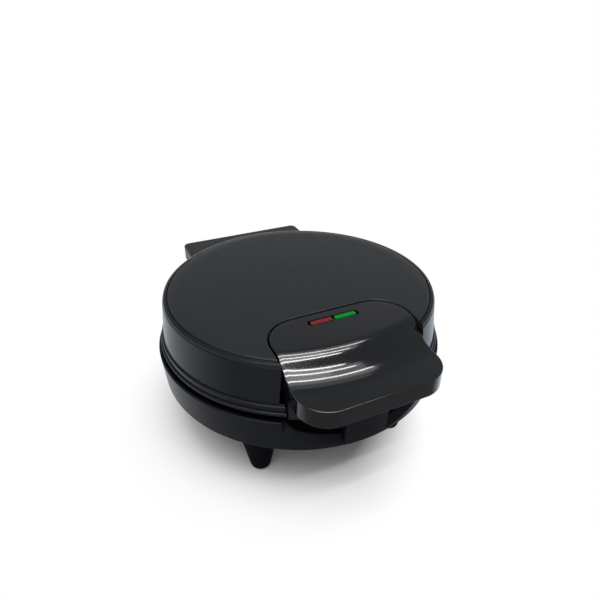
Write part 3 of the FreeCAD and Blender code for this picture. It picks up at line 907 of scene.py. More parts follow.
@dataclass
class Lid(SubAssembly):
    """The lid: turned wall with its beaded rim, crowned top panel and rear hinge cover."""

    body: Body = Body.LID
    trim: LidTrim = LidTrim()
    rim_height: float = 8.0
    wall_height: float = 24.0
    shoulder_height: float = 3.0
    shoulder_width: float = 3.5
    crown: float = 1.5
    rim_step: float = 2.5
    draft: float = 2.5
    thickness: float = 2.5
    panel_edge: float = 2.5
    panel_gap: float = 1.2
    panel_rounding: float = 0.8
    panel_grid: float = 2.5
    roll: float = 0.8
    roll_width: float = 9.0
    seat_width: float = 8.0
    notch_gap: float = 1.0
    notch_draft: float = 2.6
    notch_foot: float = 0.2
    ledge_rise: float = 3.25
    ledge_thickness: float = 2.0
    ledge_width: float = 5.0
    mouth_gap: float = 0.5
    root_corner: float = HANDLE_ROOT_CORNER
    hinge_drop: float = 11.3
    hinge_corner: float = 5.0
    cover_edge: float = 1.2
    cover_under_edge: float = 0.6
    cover_grid: float = 8.0
    ear_thickness: float = EAR_THICKNESS
    ear_radius: float = EAR_RADIUS
    ear_gap: float = 0.5
    knuckle_radius: float = 9.2
    knuckle_edge: float = 0.5
    knuckle_sink: float = 1.0
    core_rise: float = 3.0
    columns: int = 180
    bridge_columns: int = 40
    rim_spans: int = 160
    root_spans: int = 16
    side_spans: int = 10
    cover_spans: int = 8
    knuckle_spans: int = 24

    def __post_init__(self) -> None:
        """Take the radii and the handle's outline from the frame."""
        self.panel_low, self.panel_high = span("lid_top_panel")
        self.panel_radius = self.panel_high.x
        self.shoulder_top = self.panel_high.z - self.crown
        self.wall_top = self.shoulder_top - self.shoulder_height
        self.rim_top = self.wall_top - self.wall_height
        self.rim_bottom = self.rim_top - self.rim_height
        self.rim_radius = -span("lid_shell")[0].x
        self.lower_radius = self.rim_radius - self.rim_step
        self.upper_radius = self.lower_radius - self.draft
        self.plate_radius = span("upper_baking_plate")[1].x
        self.mouth_radius = self.plate_radius + self.mouth_gap
        self.ledge = self.rim_bottom + self.ledge_rise
        self.ledge_under = self.ledge - self.ledge_thickness
        self.ledge_radius = self.plate_radius - self.ledge_width
        _, handle_high = span("handle_top")
        self.handle_half, self.handle_root = handle_high.x, handle_high.y
        self.hinge_back = span("lid_shell")[1].y
        self.hinge_half = span("hinge_pin_right")[1].x + self.thickness
        self.hinge_top = self.wall_top - self.hinge_drop

    def build(self) -> None:
        """Build and dress the lid's pieces."""
        self.keep(self.wall(), SATIN_LID, "lid_black", "lid_shell")
        self.keep(self.panel(), GRAINED_PANEL, "panel_black", "lid_top_panel")
        self.keep(self.hinge_cover(), GRAINED_PANEL, "lid_black")
        self.keep(self.hinge_knuckle(), SATIN_LID, "lid_black")

    def outer_line(self) -> list[Flat]:
        """Give the wall's outer line, from the rim's underside up to the panel seam.

        Returns:
            The (radius, height) points.
        """
        trim, rim, low = self.trim, self.rim_radius, self.rim_bottom
        step, waist = rim - self.rim_step / 2, low + self.rim_height / 3
        crease, foot = step - trim.groove, self.lower_radius - trim.groove
        neck, seam = self.upper_radius - trim.neck, self.panel_radius + trim.seam
        shoulder = self.upper_radius - self.shoulder_width * trim.shoulder_share
        corners = [
            (self.mouth_radius, low, 0.0),
            (rim - trim.rim_draw, low, trim.rim_edge),
            (rim, waist, trim.bead_edge),
            (crease, waist + trim.groove_slope, trim.groove_edge),
            (crease, waist + (trim.groove_height - trim.groove_slope), trim.groove_edge),
            (step, waist + trim.groove_height, trim.step_edge),
            (step, self.rim_top - trim.bead_drop, trim.bead_edge),
            (foot, self.rim_top - trim.groove_height, trim.groove_edge),
            (foot, self.rim_top - trim.groove_slope, trim.groove_edge),
            (self.lower_radius, self.rim_top, trim.foot_edge),
            (self.upper_radius, self.wall_top, trim.wall_edge),
            (neck, self.wall_top + trim.neck_slope, trim.neck_edge),
            (neck, self.wall_top + trim.neck_height, trim.neck_edge),
            (self.upper_radius - trim.neck_draw, self.wall_top + trim.neck_top, trim.wall_edge),
            (shoulder, self.shoulder_top - trim.shoulder_drop, trim.shoulder_edge),
            (seam, self.shoulder_top - trim.seam_drop, trim.seam_edge),
            (seam, self.shoulder_top - self.panel_edge, 0.0),
        ]
        return rounded(corners, trim.spans, closed=False)

    def inner_line(self) -> list[Flat]:
        """Give the wall's inner line, from the panel's seat down to the mouth.

        Returns:
            The (radius, height) points.
        """
        seat, thick = self.shoulder_top - self.panel_edge, self.thickness
        seat_radius = self.panel_radius - self.seat_width
        return [
            (seat_radius, seat), (seat_radius, seat - thick),
            (self.upper_radius - thick, seat - thick), (self.lower_radius - thick, self.ledge),
            (self.ledge_radius, self.ledge), (self.ledge_radius, self.ledge_under),
            (self.mouth_radius, self.ledge_under),
        ]

    def notch_bearing(self, radius: float, height: float) -> float:
        """Give the bearing from the front at which the handle's notch ends.

        Args:
            radius: The distance from the lid's axis.
            height: The height on the wall.

        Returns:
            The bearing in radians.
        """
        share = min(1.0, max(0.0, (self.wall_top - height) / self.wall_height))
        widening = self.notch_draft * share if height > self.rim_top - self.notch_foot else 0.0
        return math.asin((self.handle_half + self.notch_gap + widening) / radius)

    def wall(self) -> bpy.types.Object:
        """Build the turned wall with its notch for the handle, and the ledge that crosses the notch.

        Returns:
            The wall.
        """
        builder = MeshBuilder()

        def beside(radius: float, height: float) -> list[float]:
            """Give the bearings outside the notch."""
            start = self.notch_bearing(radius, height)
            return spread(start, math.tau - start, (math.tau - 2 * start) / self.columns)

        def across(radius: float, height: float) -> list[float]:
            """Give the bearings inside the notch, which are the same at every height."""
            start = self.notch_bearing(radius, self.rim_bottom)
            return spread(-start, start, 2 * start / self.bridge_columns)

        rows = turned(builder, self.outer_line() + self.inner_line(), beside)
        for end in (0, -1):
            builder.faces.append(tuple(row[end] for row in rows))
        outer = self.lower_radius - self.thickness
        bridge = [
            (self.mouth_radius, self.rim_bottom), (outer, self.rim_bottom), (outer, self.ledge),
            (self.ledge_radius, self.ledge), (self.ledge_radius, self.ledge_under),
            (self.mouth_radius, self.ledge_under),
        ]
        turned(builder, bridge, across)
        return builder.object("lid_wall")

    def panel_outline(self, inset: float) -> list[Flat]:
        """Give the panel's outline: the lid's circle with the handle's notch.

        Args:
            inset: How far the outline is drawn in.

        Returns:
            The outline's points, as many for every inset.
        """
        radius = self.panel_radius - inset
        half = self.handle_half + self.panel_gap + inset
        back = self.handle_root + self.panel_gap + inset
        corner = self.root_corner + self.panel_gap + inset
        start = math.degrees(math.asin(half / radius))
        rim = arc((0, 0), radius, -90 + start, 270 - start, self.rim_spans)
        left = arc((-half + corner, back - corner), corner, 180, 90, self.root_spans)
        right = arc((half - corner, back - corner), corner, 90, 0, self.root_spans)
        front, side_end, edge_end = rim[-1][1], back - corner, half - corner
        sides = [(-half, v) for v in spread(front, side_end, (side_end - front) / self.side_spans)[1:-1]]
        straight = [(u, back) for u in spread(-edge_end, edge_end, edge_end / self.side_spans)[1:-1]]
        other = [(half, v) for _, v in reversed(sides)]
        return rim + sides + left + straight + right + other

    def crowned(self, u: float, v: float) -> float:
        """Give the height of the panel's crowned face, which rolls off softly at its rim.

        Args:
            u: The distance to the right of the lid's axis.
            v: The distance behind it.

        Returns:
            The height.
        """
        reach = math.hypot(u, v)
        past = max(0.0, reach - self.panel_radius + self.roll_width) / self.roll_width
        bowed = (self.crown - self.roll) * (reach / self.panel_radius) ** 2
        return self.panel_high.z - bowed - self.roll * past ** 2

    def panel(self) -> bpy.types.Object:
        """Build the crowned top panel with its rounded edge."""
        rings = [(0.0, flat(self.panel_low.z))] + upper_edge(self.panel_rounding, self.crowned)
        return Moulding(self.panel_outline, rings, spacing=(self.panel_grid,) * 2).piece("lid_panel")

    def hinge_outline(self, inset: float) -> list[Flat]:
        """Give the rear hinge cover's outline.

        Args:
            inset: How far the outline is drawn in.

        Returns:
            The outline's points.
        """
        half, back, corner = self.hinge_half - inset, self.hinge_back - inset, self.hinge_corner - inset
        front = self.lower_radius - self.rim_step - self.hinge_corner
        corners = [(half, front, 0), (half, back, corner), (-half, back, corner), (-half, front, 0)]
        return rounded(corners, self.cover_spans)

    def hinge_cover(self) -> bpy.types.Object:
        """Build the flat rear cover over the hinge.

        Returns:
            The cover.
        """
        low = PARTING + self.ear_radius + 2 * self.ear_gap
        rings = lower_edge(self.cover_under_edge, flat(low))
        rings += upper_edge(self.cover_edge, flat(self.hinge_top))
        return Moulding(self.hinge_outline, rings, spacing=(self.cover_grid,) * 2).piece("hinge_cover")

    def knuckle_outline(self, inset: float) -> list[Flat]:
        """Give the side outline of the lid's knuckle under the cover.

        Args:
            inset: How far the outline is drawn in.

        Returns:
            The outline's points.
        """
        radius = self.knuckle_radius - inset
        low, high = PARTING + self.core_rise + inset, self.hinge_top - self.knuckle_sink - inset
        lift = math.degrees(math.asin((low - PARTING) / radius))
        front = self.lower_radius - self.rim_step + inset
        barrel = arc((HINGE_Y, PARTING), radius, 180 - lift, 360, self.knuckle_spans)
        return [(front, high), (front, low)] + barrel + [(HINGE_Y + radius, high)]

    def hinge_knuckle(self) -> bpy.types.Object:
        """Build the barrel and core between the base's ears.

        Returns:
            The knuckle.
        """
        half = self.hinge_half - self.ear_thickness - self.ear_gap
        rings = lower_edge(self.knuckle_edge, flat(-half)) + upper_edge(self.knuckle_edge, flat(half))
        return Moulding(self.knuckle_outline, rings, Plane.SIDE).piece("hinge_knuckle")


@dataclass
class Handle(SubAssembly):
    """The handle's upper moulding and the two lamp lenses."""

    body: Body = Body.LID
    tip_corner: float = 19.5
    root_corner: float = HANDLE_ROOT_CORNER
    sweep_axis: float = 56.5
    sweep_crest: float = 135.0
    sweep_turn: float = 144.5
    sweep_foot: float = 163.5
    sweep_drop: float = 12.0
    thickness: float = 2.5
    top_edge: float = 0.55
    skirt_edge: float = 0.7
    skirt_back: float = 76.0
    deck_depth: float = 5.05
    slot_margin: float = 1.0
    slot_half: float = 3.0
    slot_corner: float = 2.3
    slot_steps: Flat = (0.25, 2.2)
    lens_gap: float = 0.9
    lens_corner: float = 1.2
    lens_split: float = 0.55
    split_corner: float = 0.3
    least_corner: float = 0.1
    lens_half: float = 1.85
    lens_rounding: float = 0.35
    grid: Flat = (2.0, 1.0)
    side_step: float = 1.0
    corner_spans: int = 20
    slot_spans: int = 6
    sweep_halvings: int = 40

    def __post_init__(self) -> None:
        """Take the handle's box from the frame."""
        low, high = span("handle_top")
        self.half, self.root, self.tip = high.x, high.y, low.y
        self.top, self.skirt = high.z, low.z

    def build(self) -> None:
        """Build and dress the handle's pieces."""
        self.keep(self.moulding(), GLOSS_HANDLE, "handle_black", "handle_top")
        self.keep(self.lens("red_lens", "red_lamp_lens"), RED_LENS, "red_lens_plastic", "red_lens")
        self.keep(self.lens("green_lens", "green_lamp_lens"), GREEN_LENS, "green_lens_plastic", "green_lens")

    def outline(self, inset: float) -> list[Flat]:
        """Give the handle's outline seen from above.

        Args:
            inset: How far the outline is drawn in.

        Returns:
            The outline's points.
        """
        half, root, tip = self.half - inset, self.root - inset, self.tip + inset
        back, front = self.root_corner - inset, self.tip_corner - inset
        side = spread(tip + front, root - back, self.side_step)[1:-1]
        points = arc((half - front, tip + front), front, -90, 0, self.corner_spans)
        points += [(half, v) for v in side]
        points += arc((half - back, root - back), back, 0, 90, self.corner_spans)
        points += arc((-half + back, root - back), back, 90, 180, self.corner_spans)
        points += [(-half, v) for v in reversed(side)]
        points += arc((-half + front, tip + front), front, 180, 270, self.corner_spans)
        return points

    def surface(self, u: float, v: float) -> float:
        """Give the height of the top: flat deck, an S shaped sweep that bows forward, and the grip.

        Args:
            u: The distance to the right of the lid's axis.
            v: The distance behind it.

        Returns:
            The height. On the sweep, halving finds the place on the S curve at the point's reach.
        """
        reach = math.hypot(u, v - self.sweep_axis)
        if reach <= self.sweep_crest:
            return self.top
        if reach >= self.sweep_foot:
            return self.top - self.sweep_drop
        low, high = 0.0, 1.0
        for _ in range(self.sweep_halvings):
            t = (low + high) / 2
            bend = (self.sweep_crest * (1 - t) ** 3 + 3 * self.sweep_turn * t * (1 - t)
                    + self.sweep_foot * t ** 3)
            low, high = (t, high) if bend < reach else (low, t)
        return self.top - self.sweep_drop * (3 * t * t - 2 * t ** 3)

    def underside(self, u: float, v: float) -> float:
        """Give the height of the side's lower edge: the skirt's, or the deck's inside the lid."""
        return self.skirt if v < -self.skirt_back else self.top - self.deck_depth

    def lens_slot(self) -> list[Flat]:
        """Give the outline of the slot for both lenses.

        Returns:
            The outline's points.
        """
        low, high = span("red_lens")
        reach, middle = -low.x + self.slot_margin, (low.y + high.y) / 2
        near, far = middle - self.slot_half, middle + self.slot_half
        return rounded_box(reach, near, far, self.slot_corner, self.slot_spans)

    def moulding(self) -> bpy.types.Object:
        """Build the upper moulding with its skirt, and the slot for the lenses.

        Returns:
            The moulding.
        """
        inner_top = lowered(self.underside, -self.thickness)
        rings = [(self.thickness, inner_top), (self.thickness, self.underside)]
        rings += lower_edge(self.skirt_edge, self.underside) + upper_edge(self.top_edge, self.surface)
        made = Moulding(self.outline, rings, spacing=self.grid, bottom=False,
                        holes=[self.lens_slot()], hole_rings=self.slot_steps)
        return made.piece("handle_moulding")

    def lens(self, node: str, name: str) -> bpy.types.Object:
        """Build one lens with rounded edges and a flat foot.

        Args:
            node: The node that the lens stands for.
            name: The piece's name.

        Returns:
            The lens.
        """
        low, high = span(node)
        middle = (low.y + high.y) / 2
        ends = [(self.lens_gap, self.lens_corner), (self.lens_split, self.split_corner)]
        (left_gap, left_corner), (right_gap, right_corner) = ends if low.x < 0 else reversed(ends)

        def outline(inset: float) -> list[Flat]:
            """Give the lens's outline seen from above.

            Args:
                inset: How far the outline is drawn in.

            Returns:
                The outline's points.
            """
            left = max(self.least_corner, left_corner - inset)
            right = max(self.least_corner, right_corner - inset)
            start, end = low.x + left_gap + inset, high.x - right_gap - inset
            near, far = middle - self.lens_half + inset, middle + self.lens_half - inset
            return rounded([(end, near, right), (end, far, right), (start, far, left), (start, near, left)])

        rings = [(0.0, flat(low.z))] + upper_edge(self.lens_rounding, flat(high.z))
        return Moulding(outline, rings, spacing=self.grid).piece(name)


@dataclass
class Base(SubAssembly):
    """The base: turned bowl and band with the finger scoop, rear block and hinge ears."""

    body: Body = Body.BASE
    parting_gap: float = 3.0
    band_height: float = 24.0
    band_draft: float = 2.0
    band_edge: float = 1.2
    top_edge: float = 0.6
    top_margin: float = 1.3
    lip: float = 4.0
    lip_edge: float = 0.8
    bowl_inset: float = 25.0
    bowl_edge: float = 2.5
    cover_radius: float = 64.0
    wall: float = 2.5
    mouth_gap: float = 0.5
    mouth_edge: float = 0.4
    seat_drop: float = 1.25
    seat_width: float = 5.5
    ledge_drop: float = 3.25
    scoop_half: float = 53.0
    scoop_corner: float = 12.0
    scoop_drop: float = 16.6
    scoop_depth: float = 7.0
    scoop_tilt: float = 31.0
    scoop_edge: float = 0.5
    scoop_edge_share: float = 0.4
    ramp: float = 38.0
    ramp_lip: float = 2.0
    block_half: float = 15.0
    block_step: float = 0.01
    rear_drop: float = 12.5
    rear_height: float = 18.0
    rear_root: float = 10.0
    rear_corner: float = 2.0
    rear_edge: float = 5.0
    rear_edge_share: float = 0.35
    rear_grid: Flat = (8.0, 3.0)
    inlet_gap: float = 0.2
    inlet_step: float = 1.25
    ear_thickness: float = EAR_THICKNESS
    ear_radius: float = EAR_RADIUS
    ear_web: float = 6.5
    ear_edge: float = 0.8
    ear_sink: float = 1.0
    least_edge: float = 0.01
    sharp_angle: float = 35.0
    front_step: float = 1.5
    corner_degrees: int = 3
    round_degrees: float = 2.0
    edge_spans: int = 5
    rear_edge_spans: int = 8
    inlet_spans: int = 40
    ear_spans: int = 32

    def __post_init__(self) -> None:
        """Take the outer sizes from the frame."""
        low, high = span("base_shell")
        self.upper_radius, self.floor, self.reach = high.x, low.z, high.y
        self.lower_radius = self.upper_radius - self.band_draft
        self.lip_radius = self.lower_radius - self.lip
        self.bowl_radius = self.lip_radius - self.bowl_inset
        self.mouth_radius = span("lower_baking_plate")[1].x + self.mouth_gap
        self.band_top = PARTING - self.parting_gap / 2
        self.band_bottom = self.band_top - self.band_height
        self.shelf = self.upper_radius - self.scoop_depth
        self.rear_top = PARTING - self.rear_drop
        self.rear_bottom = self.rear_top - self.rear_height
        self.hinge_half = span("hinge_pin_right")[1].x + self.wall

    def build(self) -> None:
        """Build and dress the base's pieces."""
        self.keep(self.tub(), SCOOP_SHADED_BASE, "base_black", "base_shell")
        self.keep(self.rear_block(), SATIN_BASE, "base_black")
        for side, word in ((-1, "left"), (1, "right")):
            self.keep(self.ear(side, "hinge_ear_" + word), SATIN_BASE, "base_black")

    def cut_level(self, x: float) -> float:
        """Give the height at which the scoop's ramp ends inside.

        Args:
            x: The distance from the middle of the front.

        Returns:
            The height, or the band's top where there is no scoop.
        """
        if x < self.block_half or x >= self.scoop_half:
            return self.band_top
        tilt = math.radians(self.scoop_tilt)
        past = max(0.0, x - self.scoop_half + self.scoop_corner)
        lift = (self.scoop_corner - math.sqrt(self.scoop_corner ** 2 - past ** 2)) / math.cos(tilt)
        depth = self.shelf - math.sqrt(self.shelf ** 2 - x ** 2)
        return min(self.band_top, self.band_top - self.scoop_drop + lift + math.tan(tilt) * depth)

    def columns(self) -> list[Flat]:
        """Give the columns that the base's wall is built from.

        Returns:
            Each column's bearing from the front, and its distance from the middle for the scoop.
        """
        middle = spread(0.0, self.block_half - self.block_step, self.front_step)
        corner_start = self.scoop_half - self.scoop_corner
        scoop = spread(self.block_half + self.block_step, corner_start, self.front_step)
        turns = [math.radians(a) for a in range(self.corner_degrees, 90 + 1, self.corner_degrees)]
        corner = [self.scoop_half - self.scoop_corner * (1 - math.sin(turn)) for turn in turns]
        found = [(math.asin(x / self.upper_radius), x) for x in middle + scoop + corner]
        rest = spread(found[-1][0], math.pi, math.radians(self.round_degrees))[1:]
        found += [(a, self.upper_radius) for a in rest]
        return [(-a, x) for a, x in reversed(found[1:-1])] + found

    def section(self, x: float) -> list[Flat]:
        """Give the wall's closed section.

        Args:
            x: The distance from the middle of the front.

        Returns:
            The (radius, height) points, as many for every distance.
        """
        inner = self.cut_level(x)
        fall = self.scoop_depth * math.tan(math.radians(self.ramp))
        ramp = max(self.band_bottom + self.ramp_lip, inner - fall)
        outer = self.band_top if inner == self.band_top else ramp
        edge = self.lower_radius + self.band_draft * ((outer - self.band_bottom) / self.band_height)
        top_edge = min(self.top_edge, outer - self.band_bottom - self.top_margin)
        soft = min(self.scoop_edge, self.scoop_edge_share * (self.band_top - inner))
        seat, ledge = self.band_top - self.seat_drop, self.band_top - self.ledge_drop
        seat_radius, inset = self.mouth_radius - self.seat_width, self.shelf - self.wall
        lip_top, floor_top = self.band_bottom + self.wall, self.floor + self.wall
        start = (self.cover_radius, self.floor)
        line = [
            (self.bowl_radius, self.floor, self.bowl_edge),
            (self.lip_radius, self.band_bottom, self.lip_edge),
            (self.lower_radius, self.band_bottom, self.band_edge), (edge, outer, top_edge),
            (self.shelf, inner, soft), (self.shelf, self.band_top, soft),
            (self.mouth_radius, self.band_top, self.mouth_edge), (self.mouth_radius, seat, 0),
        ]
        points: list[Flat] = [start]
        for before, here, after in zip([(*start, 0), *line], line[:-1], line[1:]):
            if here[2] > self.least_edge:
                points += rounded([before, here, after], self.edge_spans, closed=False)[1:-1]
            else:
                points += [here[:2]] * (self.edge_spans + 1)
        return points + [
            (self.mouth_radius, seat), (seat_radius, seat), (seat_radius, ledge), (inset, ledge),
            (inset, lip_top), (self.lip_radius - self.wall, lip_top),
            (self.bowl_radius - self.wall, floor_top), (self.cover_radius, floor_top),
        ]

    def tub(self) -> bpy.types.Object:
        """Build the bowl and band, with the scoop and the catch block at the front.

        Returns:
            The tub.
        """
        builder = MeshBuilder()
        columns = []
        for bearing, x in self.columns():
            columns.append(builder.row([around(radius, bearing, z) for radius, z in self.section(x)]))
        builder.skin(columns, ring=True, tube=True)
        return builder.object("base_tub", sharp=self.sharp_angle)

    def rear_outline(self, inset: float) -> list[Flat]:
        """Give the rear block's outline seen from behind.

        Args:
            inset: How far the sides are drawn in. The top and bottom follow by a share of it.

        Returns:
            The outline's points.
        """
        fall = inset * self.rear_edge_share
        low, high = self.rear_bottom + fall, self.rear_top - fall
        return rounded_box(self.hinge_half - inset, low, high, self.rear_corner)

    def rear_block(self) -> bpy.types.Object:
        """Build the rear block, with the hole for the inlet bush.

        Returns:
            The block.
        """
        low, high = span("cord_inlet")
        radius = (high.x - low.x) / 2 + self.inlet_gap
        hole = arc((0.0, (low.z + high.z) / 2), radius, 0, 360, self.inlet_spans)[:-1]
        rings = [(0.0, flat(self.lip_radius - self.rear_root))]
        rings += upper_edge(self.rear_edge, flat(self.reach), self.rear_edge_spans)
        made = Moulding(self.rear_outline, rings, Plane.REAR, self.rear_grid, bottom=False,
                        holes=[hole], hole_rings=(self.inlet_step,))
        return made.piece("rear_block")

    def ear_outline(self, inset: float) -> list[Flat]:
        """Give a hinge ear's side outline.

        Args:
            inset: How far the outline is drawn in.

        Returns:
            The outline's points.
        """
        radius, web = self.ear_radius - inset, self.ear_web - inset
        foot = self.rear_top - self.ear_sink
        lift = math.degrees(math.acos(web / radius))
        dome = arc((HINGE_Y, PARTING), radius, -lift, 180 + lift, self.ear_spans)
        return dome + [(HINGE_Y - web, foot), (HINGE_Y + web, foot)]

    def ear(self, side: int, name: str) -> bpy.types.Object:
        """Build one hinge ear.

        Args:
            side: -1 for the left ear and 1 for the right one.
            name: The piece's name.

        Returns:
            The ear.
        """
        near, far = sorted((side * (self.hinge_half - self.ear_thickness), side * self.hinge_half))
        rings = lower_edge(self.ear_edge, flat(near)) + upper_edge(self.ear_edge, flat(far))
        return Moulding(self.ear_outline, rings, Plane.SIDE).piece(name)


class CarriedParts:
    """The solids that show as they are: each gets its finish."""

    def finishes(self) -> dict[Finish, list[str]]:
        """Give the nodes of each finish.

        Returns:
            The names of the nodes, by finish.
        """
        steel = BareMetal("screw_steel", colour=(0.52, 0.52, 0.53), roughness=0.3)
        sheet = BareMetal("reflector_sheet", colour=(0.62, 0.62, 0.63), roughness=0.36)
        tube = BareMetal("heater_steel", colour=(0.2, 0.19, 0.18), roughness=0.42)
        pins = BareMetal("pin_steel", colour=(0.55, 0.55, 0.56), roughness=0.22)
        brass = BareMetal("tab_brass", colour=(0.6, 0.44, 0.16), roughness=0.32)
        resin = MouldedPlastic("phenolic", colour=(0.035, 0.024, 0.016), roughness=0.4)
        ceramic = MouldedPlastic("fuse_ceramic", colour=(0.62, 0.6, 0.55), roughness=0.5, drift=1.1)
        screws = ["handle_screws", "upper_reflector_screws", "lower_reflector_screws", "bottom_screws"]
        return {
            GLOSS_HANDLE: ["handle_bottom"],
            SATIN_BASE: ["bottom_cover", "cord_inlet"],
            FOOT_RUBBER: [node for node in frame["nodes"] if node.startswith("foot_")],
            NonStick("nonstick"): ["upper_baking_plate", "lower_baking_plate"],
            tube: ["upper_heater", "lower_heater"],
            sheet: ["upper_reflector", "lower_reflector"],
            steel: screws,
            pins: ["hinge_pin_left", "hinge_pin_right"],
            resin: ["lamp_holder", "thermostat", "terminal_block"],
            ceramic: ["thermal_fuse"],
            LampGlass("lamp_glass"): ["neon_lamps"],
            brass: ["earth_tab"],
        }

    def build(self) -> None:
        """Dress every node that is carried over."""
        for finish, nodes in self.finishes().items():
            for node in nodes:
                solid = frame["nodes"][node]
                solid.data.materials.clear()
                solid.data.materials.append(finish.material())
                LOG.info("dressed %s as %s", node, finish.name)


@dataclass(frozen=True)
class Fade:
    """How the table runs out to white: a veil at a near distance, plain white at a far one, in metres."""

    centre: Spot
    near: float
    far: float
    veil: float
    side_lift: float

    def share(self, shader: Shader, spot: Socket, aside: Socket) -> Socket:
        """Give the share of white at a spot.

        Args:
            shader: The table's shader.
            spot: The point on the table.
            aside: A share of how far the point lies to the right.

        Returns:
            The share, from 0 to 1.
        """
        away = shader.node("VectorMath", {"operation": "DISTANCE"}, {0: spot, 1: self.centre}, "Value")
        fade = self.veil + (1 - self.veil) * (away - self.near) / (self.far - self.near)
        return (fade + aside * self.side_lift).limited()


@dataclass(frozen=True)
class WhiteTable(Finish):
    """The pale table: it takes the shadow near the object and runs out to plain white.

    The camera and the mirror rays each have their own fade, and mirror rays see a shaded front.
    """

    name: str = "white_table"
    seen_fade: Fade = Fade(centre=(-0.008, -0.005, 0.0), near=0.099, far=0.136, veil=0.348, side_lift=11.8)
    mirror_fade: Fade = Fade(centre=(-0.1, -0.06, 0.0), near=0.16, far=0.34, veil=0.4, side_lift=8.0)
    matte: Colour = (0.74, 0.74, 0.745)
    white: Colour = (1.0, 1.0, 1.0)
    mirror_tint: Colour = (0.82, 0.94, 1.04)
    side_share: float = 0.5
    front: float = -0.05
    front_depth: float = 0.16
    front_shade: Colour = (0.13, 0.13, 0.13)

    def surface(self, shader: Shader) -> Socket:
        """Add the table's nodes.

        Args:
            shader: The material's shader.

        Returns:
            The mix of the matte table and the white glow.
        """
        spot = shader.place()
        seen = shader.node("LightPath", {}, {}, "Is Camera Ray")
        mirrored = shader.node("LightPath", {}, {}, "Is Glossy Ray")
        clear = shader.node("LightPath", {}, {}, "Is Transmission Ray")
        aside = shader.axis(spot, "X").highest(0.0) * self.side_share
        ahead = shader.axis(spot, "Y") * -1.0 - aside
        shaded = mirrored * ((ahead - self.front) / self.front_depth).limited()
        matte = shader.node("BsdfDiffuse", {}, {"Color": shader.blend(shaded, self.matte, self.front_shade)})
        white = shader.blend(mirrored, self.white, self.mirror_tint)
        glow = shader.node("Emission", {}, {"Color": white, "Strength": 1.0})
        direct = self.seen_fade.share(shader, spot, aside) * seen
        bounced = self.mirror_fade.share(shader, spot, aside) * mirrored.highest(clear)
        share = direct.highest(bounced) * (1.0 - shaded)
        return shader.node("MixShader", {}, {0: share, 1: matte, 2: glow})


@dataclass
class SoftBox:
    """A plain lamp panel, with its places and sizes in metres."""

    name: str
    spot: Spot
    aim: Spot
    size: Flat
    power: float

    def build(self) -> None:
        """Hang the lamp and turn it to its aim."""
        lamp = bpy.data.lights.new(self.name, "AREA")
        lamp.shape = "RECTANGLE"
        lamp.size, lamp.size_y = self.size
        lamp.energy = self.power
        made = bpy.data.objects.new(self.name, lamp)
        made.location = self.spot
        made.rotation_euler = (Vector(self.aim) - Vector(self.spot)).to_track_quat("-Z", "Y").to_euler()
        bpy.context.scene.collection.objects.link(made)


def overhead(name: str, spot: Spot, size: Flat, power: float) -> SoftBox:
    """Give a lamp panel that faces straight down."""
    return SoftBox(name, spot, (*spot[:2], 0.0), size, power)


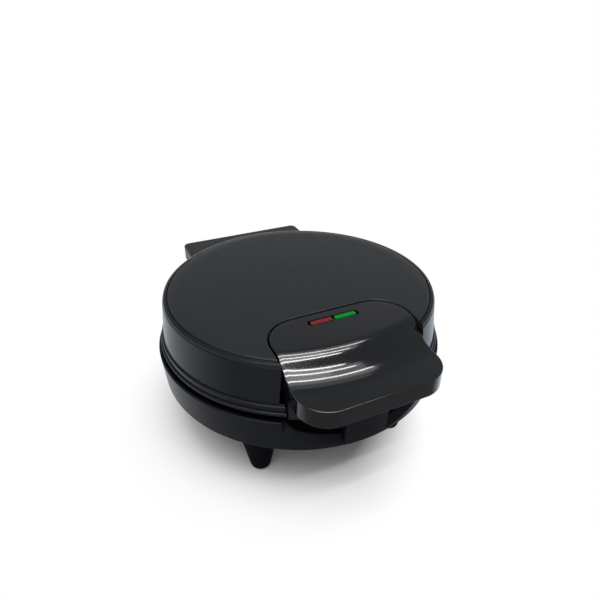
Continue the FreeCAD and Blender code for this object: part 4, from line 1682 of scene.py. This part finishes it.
@dataclass
class Studio:
    """The table, the lights, the surroundings and the camera, in metres."""

    half_table: float = 6.0
    panel_height: float = 1.3
    strip_height: float = 1.25
    strip_left: float = -1.0
    strip_width: float = 0.06
    strip_power: float = 5.0
    strips: tuple[Flat, ...] = ((-0.075, 0.62), (-0.45, 0.5), (-0.69, 0.42))
    sky: tuple[Flat, ...] = ((0.0, 1.0), (0.1, 0.85), (0.3, 0.36), (0.6, 0.22), (1.0, 0.18))
    azimuth: float = -24.69
    elevation: float = 31.04
    lens: float = 29.62
    sensor: float = 36.0
    camera_spot: Spot = (-0.1291, -0.2835, 0.2781)

    def build(self) -> None:
        """Build the whole setting."""
        self.table()
        self.surroundings()
        for box in self.lights():
            box.build()
        self.camera()

    def table(self) -> None:
        """Lay the table, as one flat sheet."""
        half = self.half_table
        mesh = bpy.data.meshes.new("table")
        corners = [(-half, -half, 0), (half, -half, 0), (half, half, 0), (-half, half, 0)]
        mesh.from_pydata(corners, [], [(0, 1, 2, 3)])
        made = bpy.data.objects.new("table", mesh)
        made.data.materials.append(WhiteTable().material())
        bpy.context.scene.collection.objects.link(made)

    def surroundings(self) -> None:
        """Paint the room's light: pale at the horizon, dimmer overhead and plain white to the camera."""
        world = bpy.data.worlds.new("room")
        bpy.context.scene.world = world
        shader = Shader(world)
        way = shader.node("TexCoord", {}, {}, "Generated")
        lift = shader.axis(way, "Z").limited()
        level = shader.node("ValToRGB", {"stops": self.sky}, {0: lift})
        seen = shader.node("LightPath", {}, {}, "Is Camera Ray")
        shader.finish(shader.node("Background", {}, {"Color": level.highest(seen), "Strength": 1.0}), "World")

    def lights(self) -> list[SoftBox]:
        """Give the lamps: four panels overhead, one in front and three long strips.

        Returns:
            The lamps. Each strip has a y and a right end, and all start at the same left end.
        """
        high = self.panel_height
        lamps = [
            overhead("glow", (-0.24, -0.4, high), size=(1.08, 0.7), power=6.0),
            overhead("side_glow", (0.45, -0.35, high), size=(0.3, 0.6), power=0.7),
            overhead("rear_glow", (0.12, 0.06, high), size=(1.1, 0.22), power=1.1),
            overhead("far_glow", (0.2, 0.3, high), size=(0.9, 0.26), power=0.35),
            SoftBox("front_glow", (-0.45, -1.05, 1.25), aim=(-0.2, -0.1, 0.05), size=(1.0, 0.5), power=3.0),
        ]
        for i, (y, right) in enumerate(self.strips):
            spot = ((right + self.strip_left) / 2, y, self.strip_height)
            size = (right - self.strip_left, self.strip_width)
            lamps.append(overhead(f"strip_{i}", spot, size, self.strip_power))
        return lamps

    def camera(self) -> None:
        """Stand the camera where it sees the object from its front left."""
        data = bpy.data.cameras.new("camera")
        data.sensor_width = self.sensor
        data.lens = self.lens
        made = bpy.data.objects.new("camera", data)
        made.location = Vector(self.camera_spot) + Vector((0, AXIS_Y, 0))
        made.rotation_euler = (math.radians(90 - self.elevation), 0.0, math.radians(self.azimuth))
        bpy.context.scene.collection.objects.link(made)
        bpy.context.scene.camera = made
        bpy.context.scene.view_settings.view_transform = "Standard"


def main() -> None:
    """Build the donut maker and its setting."""
    logging.basicConfig(level=logging.INFO, format="%(name)s: %(message)s")
    for group in (Lid(), Handle(), Base(), CarriedParts()):
        group.build()
    Studio().build()


if __name__ == "__main__":
    main()
